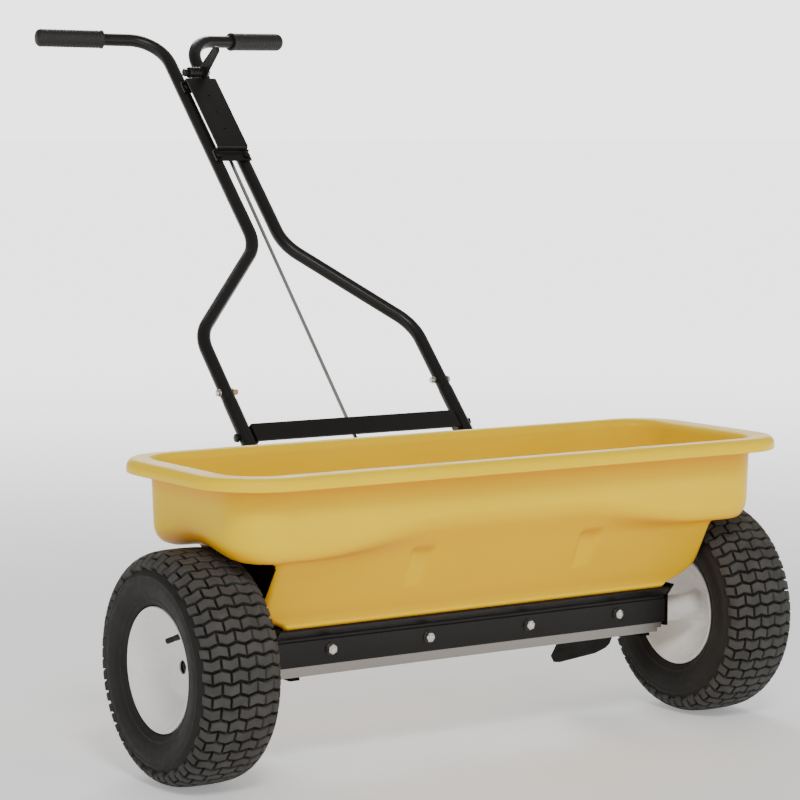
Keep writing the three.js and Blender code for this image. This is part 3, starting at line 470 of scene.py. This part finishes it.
def hopper():
    """A closed skin: up the outside, over the rolled lip and down the inside."""
    # Each ring: its outline, the rounding of its edge, and the rows between it and the next one.
    rings = [
        ((336, -43.9, 31.9, 6, 158), 0.5, 4),
        ((336, -43.9, 31.9, 6, 198), 5, 3),
        ((340, -61.5, 49.5, 8, 215.5), 2.5, 1),
        ((346, -61.5, 48.5, 10, 219.5), 3, 1),
        ((368, -66.4, 52.2, 12, 229), 8, 2),
        ((383.5, -75, 58.8, 12, 242), 8, 2),
        ((387.5, -82.4, 64.4, 12, 255), 10, 18),
        ((384.5, -120, 105, 12, ledge_edge), 11, 3),
        ((438, -141, 141, 40, lower_edge), 12, 2),
        ((454.5, -146.5, 146.5, 54, lambda x, y: lower_edge(x, y) + 18), 16, 5),
        ((459, -149, 149, 58, 437.4), 4, 3),
        ((495, *lip(176.5), 88, 437.4), 3, 1),
        ((496.5, *lip(178.5), 96, 426.6), 1, 1),
        ((500, *lip(182), 100, 426.6), 1.5, 1),
        ((499, *lip(180.5), 96, 438.6), 7, 1),
        ((490, *lip(171), 80, LIP_Z), 7, 4),
        ((460, -151, 151, 58, 445.0), 4, 1),
        ((453.5, -144, 144, 53, 437.4), 6, 4),
        ((448.5, -141, 141, 48, lambda x, y: lower_edge(x, y) + 20), 14, 2),
        ((432, -135, 135, 35, lambda x, y: lower_edge(x, y) + 5), 11, 3),
        ((379, -115, 100, 10, lambda x, y: ledge_edge(x, y) + 5), 11, 18),
        ((382, -78, 60, 10, 257), 9, 2),
        ((377.5, -70.8, 54.6, 10, 245), 7, 1),
        ((364, -63.8, 49.5, 9, 232.5), 7, 1),
        ((347, -59.5, 46.3, 8, 226), 7, 1),
        ((334, -55, 43, 6, 218), 7, 1),
        ((331, -39.3, 27.3, 2, 202), 5, 2),
        ((331, -39.3, 27.3, 2, 158), 0.5, 1),
    ]
    cage = np.array([hopper_ring(*r[0]) for r in rings])
    steps = 4
    curves = rounded(cage, [r[1] for r in rings], steps)
    rows = []
    for k in range(len(rings)):
        bend = curves[k * (steps + 1):(k + 1) * (steps + 1)]
        rows.extend(bend)
        following = curves[(k + 1) % len(rings) * (steps + 1)]
        for step in range(1, rings[k][2] + 1):
            t = step / (rings[k][2] + 1)
            rows.append(bend[-1] * (1 - t) + following * t)
    rows = np.array(rows)
    rows_of = [steps + 1 + ring[2] for ring in rings]
    press_in(rows[:sum(rows_of[:OUTER_LEDGE_RING + 1])], 321.5)
    press_in(rows[sum(rows_of[:INNER_LEDGE_RING]):], 326)
    skin = loft([[tuple(p) for p in row] for row in rows], closed=True)
    obj = piece("hopper.look", [(*skin, YELLOW)], "chassis", ["hopper"], sharp=60)
    # Painted shade: the trough's end walls, in deep shade by the tyres, are made black.
    paint_shade_on_trough_ends(obj.data)


hopper()

# ---- Rails and their bolts -----------------------------------------------------------------


RAIL_HALF = 348.0
RAIL_BOLT_Z = 176.9
FRONT_BOLTS_X, REAR_BOLTS_X = (-256.6, -89.8, 89.8, 256.6), (-300, -89.8, 89.8, 300)


def rail(name, mirrored):
    """A folded rail along the hopper's foot, drawn as (y, z) for the front one."""
    outline = [(-46, 155.5), (-50, 155.5), (-50, 191.5), (-47.8, 192.6), (-47.8, 196.2), (-50.6, 198.2),
               (-61.8, 209.7), (-58.9, 212.5), (-46, 199.2)]
    if mirrored:
        outline = [(-y - 12, z) for y, z in reversed(outline)]
    line = rounded(outline, [0.6, 1.2, 0.8, 0.5, 0.5, 1.0, 0.9, 0.9, 1.5], 3)
    skin = prism(line, -RAIL_HALF, RAIL_HALF, lambda y, z, x: Vector((x, y, z)))
    return piece(name + ".look", [(*skin, BLACK)], "chassis", [name], sharp=40)


rail("front_rail", False)
rear = rail("rear_rail", True)
holed(rear, [turned([(11.9, 230), (11.9, 330)], on_handle(sign * STUB_X, 0, 0),
                    on_handle(0, 1, 0) - on_handle(0, 0, 0), 32) for _, sign in SIDES])


def rail_bolts():
    """Hexagon bolts through the rails; the outer rear ones pass through the stand legs too."""
    for k, x in enumerate(FRONT_BOLTS_X):
        origin = Vector((x, -50.3, RAIL_BOLT_Z))
        out = Vector((0, -1, 0))
        parts = [
            (*disc(origin, out, 9.2, 1.7), DARK_STEEL),
            (*hexagon(origin + out * 1.6, out, 7.3, 4.6, twist=0.35 * k), ZINC),
            (*disc(origin + out * 6, out, 3.6, 1.3, 20), ZINC),
            (*disc(origin + Vector((0, 16, 0)), out, 3.9, 16.5, 16), ZINC),
        ]
        name = f"front_rail_bolt_{k + 1}"
        piece(name + ".look", parts, "chassis", [name])
    for k, x in enumerate(REAR_BOLTS_X):
        face = 43.6 if abs(x) > 200 else 38.3
        origin = Vector((x, face, RAIL_BOLT_Z))
        out = Vector((0, 1, 0))
        parts = [
            (*disc(origin, out, 9.2, 1.7), ZINC),
            (*hexagon(origin + out * 1.6, out, 7.3, 5.2, twist=0.3 * k), ZINC),
            (*disc(origin - Vector((0, face - 22, 0)), out, 3.9, face - 21, 16), ZINC),
        ]
        name = f"rear_rail_bolt_{k + 1}"
        piece(name + ".look", parts, "chassis", [name])


rail_bolts()

# ---- Wheels --------------------------------------------------------------------------------

ROWS = 58
BLOCK_PITCH = 27.0
TREAD_RADIUS = 165.0
TREAD_HALF = 73.0
TREAD_EDGE = 69.5
TREAD_TOP = [(0, 164.9), (22, 164.6), (38, 163.0), (50, 158.0), (58, 150.0), (62.5, 140.0)]
TREAD_BASE = [(0, 157.6), (21, 157.2), (35.5, 155.9), (46, 151.8), (53.5, 145.0), (58.5, 136.5)]


def along(points, distance):
    """The (x, radius) at a distance across the tread from its middle, on a rounded line of points."""
    smoothed = rounded(points, [9] * len(points), 4, closed=False)
    lengths = np.r_[0, np.cumsum(np.linalg.norm(np.diff(smoothed, axis=0), axis=1))]
    at = min(1.0, abs(distance) / TREAD_HALF) * lengths[-1]
    x = np.interp(at, lengths, smoothed[:, 0])
    r = np.interp(at, lengths, smoothed[:, 1])
    return math.copysign(x, distance) if distance else 0.0, r


def tread_blocks(centre_x):
    """Rows of chevron blocks, each row set half a block across from the last, with a zigzag between.

    A block is a grid of points. Each has a depth, from 0 on the tread to 1 at the foot of the grooves.
    """
    pitch = 2 * math.pi * TREAD_RADIUS / ROWS
    height, dip, gap = pitch - 5.0, 8.5, 3.6
    levels_t = [(-0.5, -0.5, 1.04), (-0.5, 0, 0.12), (-0.5, 0.9, 0),
                (0.5, -0.9, 0), (0.5, 0, 0.12), (0.5, 0.5, 1.04)]
    cache = {}

    def section(s, q):
        key = (round(s, 3), q)
        if key not in cache:
            top, base = along(TREAD_TOP, s), along(TREAD_BASE, s)
            cache[key] = (top[0] * (1 - q) + base[0] * q, top[1] * (1 - q) + base[1] * q)
        return cache[key]

    points, faces = [], []
    for row in range(ROWS):
        shift = BLOCK_PITCH / 2 * (row % 2)
        middle = row * pitch
        for k in range(-3, 4):
            centre = k * BLOCK_PITCH + shift
            low = max(-TREAD_EDGE, centre - BLOCK_PITCH / 2 + gap / 2)
            high = min(TREAD_EDGE, centre + BLOCK_PITCH / 2 - gap / 2)
            if high - low < 6:
                continue
            inner = [s for s in (centre - 6.5, centre, centre + 6.5) if low + 2 < s < high - 2]
            levels_s = [(low - 0.5, 1.04), (low, 0.12), (low + 0.9, 0), *[(s, 0) for s in inner],
                        (high - 0.9, 0), (high, 0.12), (high + 0.5, 1.04)]
            start = len(points)
            for s, q_s in levels_s:
                slope = abs(s - centre) / BLOCK_PITCH
                bow = dip * (slope if row % 2 else 0.5 - slope)
                for side, inset, q_t in levels_t:
                    x, r = section(s, max(q_s, q_t))
                    angle = (middle + side * height + inset + bow) / TREAD_RADIUS
                    points.append((centre_x + x, -r * math.cos(angle), AXLE_Z - r * math.sin(angle)))
            wide = len(levels_t)
            for i in range(len(levels_s) - 1):
                for j in range(wide - 1):
                    a = start + i * wide + j
                    faces.append((a, a + wide, a + wide + 1, a + 1))
    return points, faces


def tyre(side, sign):
    """A hollow carcass turned from half a section and its mirror image, with the tread on it."""
    centre_x = sign * WHEEL_X
    half = [(46, 89.2), (51.5, 90.5), (53.5, 95), (56.5, 98), (56.2, 100.5), (60, 108), (63.0, 122),
            (62.4, 130), (62.9, 131.2), (61.8, 133.5), (58.6, 137), (53.5, 145.0), (46, 151.8),
            (35.5, 155.9), (21, 157.2)]
    sizes = [1, 2, 2, 0.6, 0.6, 5, 5, 0.5, 0.5, 1, 2, 4, 4, 4, 4]
    inside = [(40, 96), (52, 122), (40, 150), (0, 152)]
    right = list(zip(half, sizes)) + [((0, 157.6), 4)]
    left = [((-x, r), size) for (x, r), size in reversed(right[:-1])]
    under = [((-x, r), 5) for x, r in inside] + [((x, r), 5) for x, r in reversed(inside[:-1])]
    loop = right + left + under
    line = rounded([p for p, _ in loop], [size for _, size in loop], 3)
    profile = [(r, x) for x, r in line]
    carcass = turned(profile, (centre_x, 0, AXLE_Z), (1, 0, 0), 144, closed=True)
    blocks = tread_blocks(centre_x)
    body = "left_wheel" if sign < 0 else "drive_axle"
    name = f"tyre_{side}"
    piece(name + ".look", [(*carcass, RUBBER), (*blocks, TREAD_RUBBER)], body, [name],
          sharp=38)


def rim(side, sign):
    """A deep bowl on each face, a flanged barrel and a long hub; x grows towards the middle."""
    outline = [(9.6, -11), (30, -11.4), (47, -14.5), (62, -22.5), (73, -34), (80, -44.5),
               (84.5, -50.4), (87.4, -51.4), (88.8, -49.6), (87.6, -46), (80, -40), (80, 40),
               (87.6, 46), (88.8, 49.6), (87.2, 51.4), (84, 49.5), (76, 36), (64, 19), (44, 8),
               (24, 5), (20, 11), (20, 97.2), (18.5, 97.4), (10.6, 97.4), (10.6, -4), (12.6, -4),
               (12.6, -9), (9.6, -9)]
    sizes = [0.6, 8, 10, 8, 8, 4, 1.5, 1, 1, 2, 3, 3, 2, 1, 1, 2, 8, 10, 12, 3, 3, 0.6, 0.4, 0.4,
             0.2, 0.2, 0.2, 0.2]
    line = rounded(outline, sizes, 4)
    profile = [(r, -sign * x) for r, x in line]
    skin = turned(profile, (sign * WHEEL_X, 0, AXLE_Z), (1, 0, 0), 96, closed=True)
    body = "left_wheel" if sign < 0 else "drive_axle"
    piece(f"rim_{side}.look", [(*skin, WHITE)], body, [f"rim_{side}"], sharp=40)


def valve(side, sign):
    """A rubber stem with a screwed cap, leaning out of the bowl of the rim."""
    tip = Vector((sign * 503, -16, AXLE_Z + 42))
    root = Vector((sign * 480, -46, AXLE_Z + 58))
    along_stem = (root - tip).normalized()
    profile = [(2.4, 0.5), (3.7, 1.0), (4.0, 2.0), (4.0, 11.5), (3.5, 12.2), (3.5, 13.5),
               (4.1, 14.5), (4.6, 40), (4.2, 43.5)]
    body = "left_wheel" if sign < 0 else "drive_axle"
    skin = turned(profile, tip, along_stem, 24)
    name = f"valve_stem_{side}"
    piece(name + ".look", [(*skin, GRIP_RUBBER)], body, [name])


for where in SIDES:
    tyre(*where)
    rim(*where)
    valve(*where)

# ---- Handle --------------------------------------------------------------------------------


def mirrored(vector, sign):
    """The same vector on the left or the right side."""
    return Vector((vector.x * sign, vector.y, vector.z))


OUT = on_handle(0, 0, 1) - on_handle(0, 0, 0)
RIB_PITCH = 5.6
JOINT_U = 696.0


def handle_tubes(side, sign):
    """The bent upper tube and the straight lower one, whose foot is cut flat against the trough."""
    top = Vector((sign * WAIST_X, TOP_BEND_U, 0))
    corners = [
        Vector((sign * STUB_X, 678, 0)),
        Vector((sign * STUB_X, 810, 0)),
        Vector((sign * WAIST_X, 990, 0)),
        top,
        top + mirrored(GRIP_DIRECTION, sign) * (GRIP_END - 12),
    ]
    line = [on_handle(*p) for p in bent(corners, [75, 75, 64])]
    name = f"upper_tube_{side}"
    piece(name + ".look", [(*tube(line, TUBE_RADIUS, 36), BLACK)], "chassis", [name])
    low = [on_handle(sign * STUB_X, u, 0) for u in (244, 677.6)]
    name = f"lower_tube_{side}"
    stub = piece(name + ".look", [(*tube(low, STUB_RADIUS, 36), BLACK)], "chassis", [name])
    x = sign * STUB_X
    holed(stub, [box((x - 20, -60, 60), (x + 20, 38.6, 300), lambda *place: Vector(place))])


def grip(side, sign):
    """A rubber sleeve with a collar, fine ribs and a round end."""
    way = mirrored(GRIP_DIRECTION, sign)
    start = Vector((sign * WAIST_X, TOP_BEND_U, 0)) + way * GRIP_START
    profile = [(10.9, 11), (10.9, 0.4), (11.4, 0), (15.2, 0.1), (15.65, 0.8), (15.65, 2.4),
               (15.0, 3.4)]
    body_start, body_end = 4.2, GRIP_END - GRIP_START - 9
    steps = 96
    for step in range(steps + 1):
        distance = body_start + (body_end - body_start) * step / steps
        wave = 0.22 * math.cos(2 * math.pi * (distance - body_start) / RIB_PITCH)
        profile.append((14.8 + wave, distance))
    for step in range(1, 10):
        angle = step / 10 * math.pi / 2
        profile.append((6.0 + 8.9 * math.cos(angle), body_end + 9 * math.sin(angle)))
    profile.append((0.3, body_end + 9))
    origin = on_handle(*start)
    direction = on_handle(*(start + way)) - origin
    skin = turned(profile, origin, direction, 48)
    name = f"grip_{side}"
    piece(name + ".look", [(*skin, GRIP_RUBBER)], "chassis", [name], sharp=60)


def joint(side, sign):
    """The bolt and domed nut through both tubes, and the bolt at that end of the crossbar."""
    outside = Vector((sign, 0, 0))
    centre = on_handle(sign * STUB_X, JOINT_U, 0)
    head = [
        (*disc(centre + outside * 10.5, outside, 6.2, 1.0), ZINC),
        (*hexagon(centre + outside * 11.4, outside, 5.8, 3.9), ZINC),
        (*disc(centre - outside * 16, outside, 2.9, 27, 16), ZINC),
    ]
    piece(f"joint_bolt_{side}.look", head, "chassis", [f"joint_bolt_{side}"])
    tone = COPPERY if sign < 0 else ZINC
    nut = [
        (*hexagon(centre - outside * 10.9, -outside, 5.8, 5.0, twist=0.3), tone),
        (*disc(centre - outside * 15.6, -outside, 4.4, 4.3, 24), tone),
    ]
    piece(f"joint_nut_{side}.look", nut, "chassis", [f"joint_nut_{side}"])
    cross = on_handle(0, CROSSBAR_U, -3)
    bolt = [
        (*hexagon(cross + outside * 210.8, outside, 7, 5), BLACK),
        (*disc(cross + outside * 174, outside, 3.9, 37, 20), BLACK),
    ]
    piece(f"crossbar_bolt_{side}.look", bolt, "chassis", [f"crossbar_bolt_{side}"])


def crossbar():
    """A flat channel with a foot turned back at each end, drawn as (n, x)."""
    half = 187.8
    outline = [(-11, -half), (-11, -half + 4), (6, -half + 4), (6, half - 4), (-11, half - 4),
               (-11, half), (10, half), (10, -half)]
    line = rounded(outline, [0.5, 0.5, 1.5, 1.5, 0.5, 0.5, 3.5, 3.5], 3)
    skin = prism(line, CROSSBAR_U - 16, CROSSBAR_U + 16, lambda n, x, u: on_handle(x, u, n))
    piece("crossbar.look", [(*skin, BLACK)], "chassis", ["crossbar"], bevel=0.7)


for where in SIDES:
    handle_tubes(*where)
    grip(*where)
    joint(*where)
crossbar()

# ---- Control bracket, lever and rod ----------------------------------------------------------


def side_on(u, n, x):
    """Places an outline drawn side-on, as (u, n)."""
    return on_handle(x, u, n)


def control_bracket():
    """A folded cover with two bolted feet, an ear for the pivot, cut corners and three holes."""
    low, high, foot, front, thick = 1182.0, 1339.5, 10.9, 26.0, 3.0
    outline = [(low - 18, foot), (low + thick, foot), (low + thick, front - thick),
               (high - thick, front - thick), (high - thick, foot + thick), (high - 21, foot + thick),
               (high - 21, foot), (high, foot), (high, front), (low, front), (low, foot + thick),
               (low - 18, foot + thick)]
    line = rounded(outline, [0.3, 1, 3.5, 1.2, 1, 0.3, 0.3, 3, 2.5, 6, 1.5, 0.3], 4)
    body = prism(line, -33.5, 33.5, side_on)
    ear_outline = [(high - 3, foot), (high + 8, foot), (high + 24, PIVOT_N - 8), (high + 27, PIVOT_N),
                   (high + 25, PIVOT_N + 6), (high + 20, PIVOT_N + 10), (high + 13, PIVOT_N + 10.5),
                   (high + 6, PIVOT_N + 8.5), (high - 3, front - 1)]
    ear_line = rounded(ear_outline, [0.5, 3, 5, 4, 4, 4, 4, 6, 1], 4)
    ear = prism(ear_line, -19.6, -16.6, side_on)
    obj = piece("control_bracket.look", [(*body, BLACK), (*ear, BLACK)], "chassis",
                ["control_bracket"], bevel=0.5)
    cutters = []
    for _, sign in SIDES:
        edges = sorted((sign * 28.5, sign * 42))
        cutters.append(box((edges[0], low - 2, front - 9), (edges[1], high + 2, 40), on_handle))
    for share in (0.26, 0.5, 0.74):
        u = low + share * (high - low)
        cutters.append(turned([(2.2, 10), (2.2, 35)], on_handle(0, u, 0), OUT, 24))
    holed(obj, cutters)
    for side, sign in SIDES:
        for place_name, u in (("lower", low - 9), ("upper", high - 12)):
            origin = on_handle(sign * WAIST_X, u, 14.2)
            parts = [
                (*hexagon(origin, OUT, 5.6, 4, twist=0.2), BLACK),
                (*disc(origin - OUT * 28.5, OUT, 2.9, 29, 16), BLACK),
            ]
            piece(f"bracket_bolt_{place_name}_{side}.look", parts, "chassis",
                  [f"bracket_bolt_{place_name}_{side}"])


def lever():
    """A ribbed boss, a tapered blade above it and a slotted arm below it, which holds the rod."""
    pivot = on_handle(0, PIVOT_U, PIVOT_N)
    along_x = Vector((1, 0, 0))
    profile = [(8.6, -16.2), (9.4, -15.2)]
    for rib in range(4):
        start = -13.8 + rib * 5.1
        profile += [(9.5, start), (9.5, start + 2.8), (8.7, start + 3.4), (8.7, start + 4.8)]
    profile += [(9.5, 6.8), (9.5, 8.4)]
    boss = turned(profile, pivot, along_x, 40)
    centre = np.array([PIVOT_U, PIVOT_N])
    lean = 4.5
    blade_outline = [(-9, -4), (9, -4), (8.7, 12), (6 - lean, 61), (3 - lean, 64), (-3 - lean, 64),
                     (-6 - lean, 61), (-10.3, 12)]
    blade = prism(centre + rounded(blade_outline, [3, 3, 6, 2, 2, 2, 2, 6], 4), 8, 15, side_on)
    arm_outline = [(-8, 0), (-8, -23), (-4, -27), (4, -27), (8, -23), (8, 0), (4.2, 0), (4.2, -23),
                   (-4.2, -23), (-4.2, 0)]
    arm = prism(centre + rounded(arm_outline, [1, 3, 3, 3, 3, 1, 0.2, 1, 1, 0.2], 3), 8, 13, side_on)
    piece("control_lever.look", [(*boss, BLACK), (*blade, BLACK), (*arm, BLACK)], "lever",
          ["control_lever"], bevel=0.6)


def control_rod():
    """A straight rod with a hook turned sideways at each end."""
    corners = [Vector((11.5, *ROD_LOW[1:])), ROD_LOW.copy(), ROD_HIGH.copy(), Vector((15, *ROD_HIGH[1:]))]
    skin = tube(bent(corners, [4.5, 4.5], 8), 3.0, 24)
    piece("control_rod.look", [(*skin, ROD_STEEL)], "rod", ["control_rod"])


control_bracket()
lever()
control_rod()

# ---- Finishes of the pieces shown as they are ------------------------------------------------

PLAIN = {
    BLACK: ["rocker_bracket", "lever_bolt", "rocker", "crossbar_nut_left", "crossbar_nut_right"],
    DULL_BLACK: ["end_plate_left", "end_plate_right", "shutter_guide_left", "shutter_guide_right",
                 "stand_leg_left", "stand_leg_right"],
    STAINLESS: ["bottom_plate", "shutter"],
    ZINC: ["rocker_bolt", "agitator_pin", "wheel_pin", "lever_nut"],
    DARK_STEEL: ["axle", "agitator", "axle_end_ring"],
    BRONZE: ["axle_bush_left", "axle_bush_right"],
}
for material, names in PLAIN.items():
    for name in names:
        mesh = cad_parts[name].data
        mesh.materials.clear()
        mesh.materials.append(material)

# ---- Floor, lights and camera ----------------------------------------------------------------

SWEEP = 3.0  # brightness of the far floor and of the surround behind the machine
SURROUND = 0.42


def floor():
    """A pale floor that grows brighter away from the machine, as a lit studio sweep does."""
    nodes, links = FLOOR.node_tree.nodes, FLOOR.node_tree.links
    shader = nodes["Principled BSDF"]
    place = nodes.new("ShaderNodeTexCoord")
    length = nodes.new("ShaderNodeVectorMath")
    length.operation = "LENGTH"
    rise = nodes.new("ShaderNodeMapRange")
    rise.interpolation_type = "SMOOTHSTEP"
    rise.inputs["From Min"].default_value = 0.9
    rise.inputs["From Max"].default_value = 6.0
    rise.inputs["To Min"].default_value = 0.3
    rise.inputs["To Max"].default_value = SWEEP - 0.65
    links.new(place.outputs["Object"], length.inputs[0])
    links.new(length.outputs["Value"], rise.inputs["Value"])
    links.new(rise.outputs["Result"], shader.inputs["Emission Strength"])
    shader.inputs["Emission Color"].default_value = (1, 1, 1, 1)
    mesh = bpy.data.meshes.new("floor")
    size = 80
    corners = [(-size, -size, 0), (size, -size, 0), (size, size, 0), (-size, size, 0)]
    mesh.from_pydata(corners, [], [(0, 1, 2, 3)])
    mesh.materials.append(FLOOR)
    obj = bpy.data.objects.new("floor", mesh)
    bpy.context.scene.collection.objects.link(obj)


def studio_world():
    """An even pale surround, as bright as the far floor in the direction behind the machine."""
    world = bpy.data.worlds.new("world")
    bpy.context.scene.world = world
    world.use_nodes = True
    nodes, links = world.node_tree.nodes, world.node_tree.links
    place = nodes.new("ShaderNodeTexCoord")
    facing = nodes.new("ShaderNodeVectorMath")
    facing.operation = "DOT_PRODUCT"
    facing.inputs[1].default_value = (0.5545, 0.8322, 0)
    glow = nodes.new("ShaderNodeMapRange")
    glow.interpolation_type = "SMOOTHSTEP"
    glow.inputs["From Min"].default_value = 0.86
    glow.inputs["From Max"].default_value = 0.975
    glow.inputs["To Min"].default_value = SURROUND
    glow.inputs["To Max"].default_value = SWEEP
    links.new(place.outputs["Generated"], facing.inputs[0])
    links.new(facing.outputs["Value"], glow.inputs["Value"])
    background = nodes["Background"]
    background.inputs["Color"].default_value = (1, 1, 1, 1)
    links.new(glow.outputs["Result"], background.inputs["Strength"])


def area_light(name, location, target, size, power):
    """A round soft light that faces a target."""
    data = bpy.data.lights.new(name, "AREA")
    data.shape = "DISK"
    data.size = size
    data.energy = power
    lamp = bpy.data.objects.new(name, data)
    lamp.location = location
    lamp.rotation_mode = "QUATERNION"
    lamp.rotation_quaternion = (Vector(target) - Vector(location)).to_track_quat("-Z", "Y")
    bpy.context.scene.collection.objects.link(lamp)


def camera():
    """A long lens, left of the front and a little above the hopper."""
    azimuth, elevation, roll = math.radians(-33.677), math.radians(5.869), math.radians(0.178)
    level = Vector((-math.sin(azimuth), math.cos(azimuth), 0))
    forward = level * math.cos(elevation) - Vector((0, 0, math.sin(elevation)))
    right = Vector((math.cos(azimuth), math.sin(azimuth), 0))
    up = right.cross(forward)
    tilted_right = right * math.cos(roll) + up * math.sin(roll)
    tilted_up = up * math.cos(roll) - right * math.sin(roll)
    data = bpy.data.cameras.new("camera")
    data.sensor_width = 36
    data.lens = 124.89
    data.clip_start, data.clip_end = 0.1, 300
    obj = bpy.data.objects.new("camera", data)
    rotation = Matrix((tilted_right, tilted_up, -forward)).transposed()
    obj.matrix_world = Matrix.Translation((-2.3196, -3.6860, 0.9278)) @ rotation.to_4x4()
    bpy.context.scene.collection.objects.link(obj)
    bpy.context.scene.camera = obj


floor()
middle = (0, -0.3, 0.45)
area_light("key", (-1.7, -4.0, 3.9), middle, 1.4, 135)
area_light("fill", (2.6, -4.2, 1.6), middle, 2.4, 18)
area_light("back", (1.5, 3.0, 3.0), middle, 2.0, 70)
studio_world()
camera()
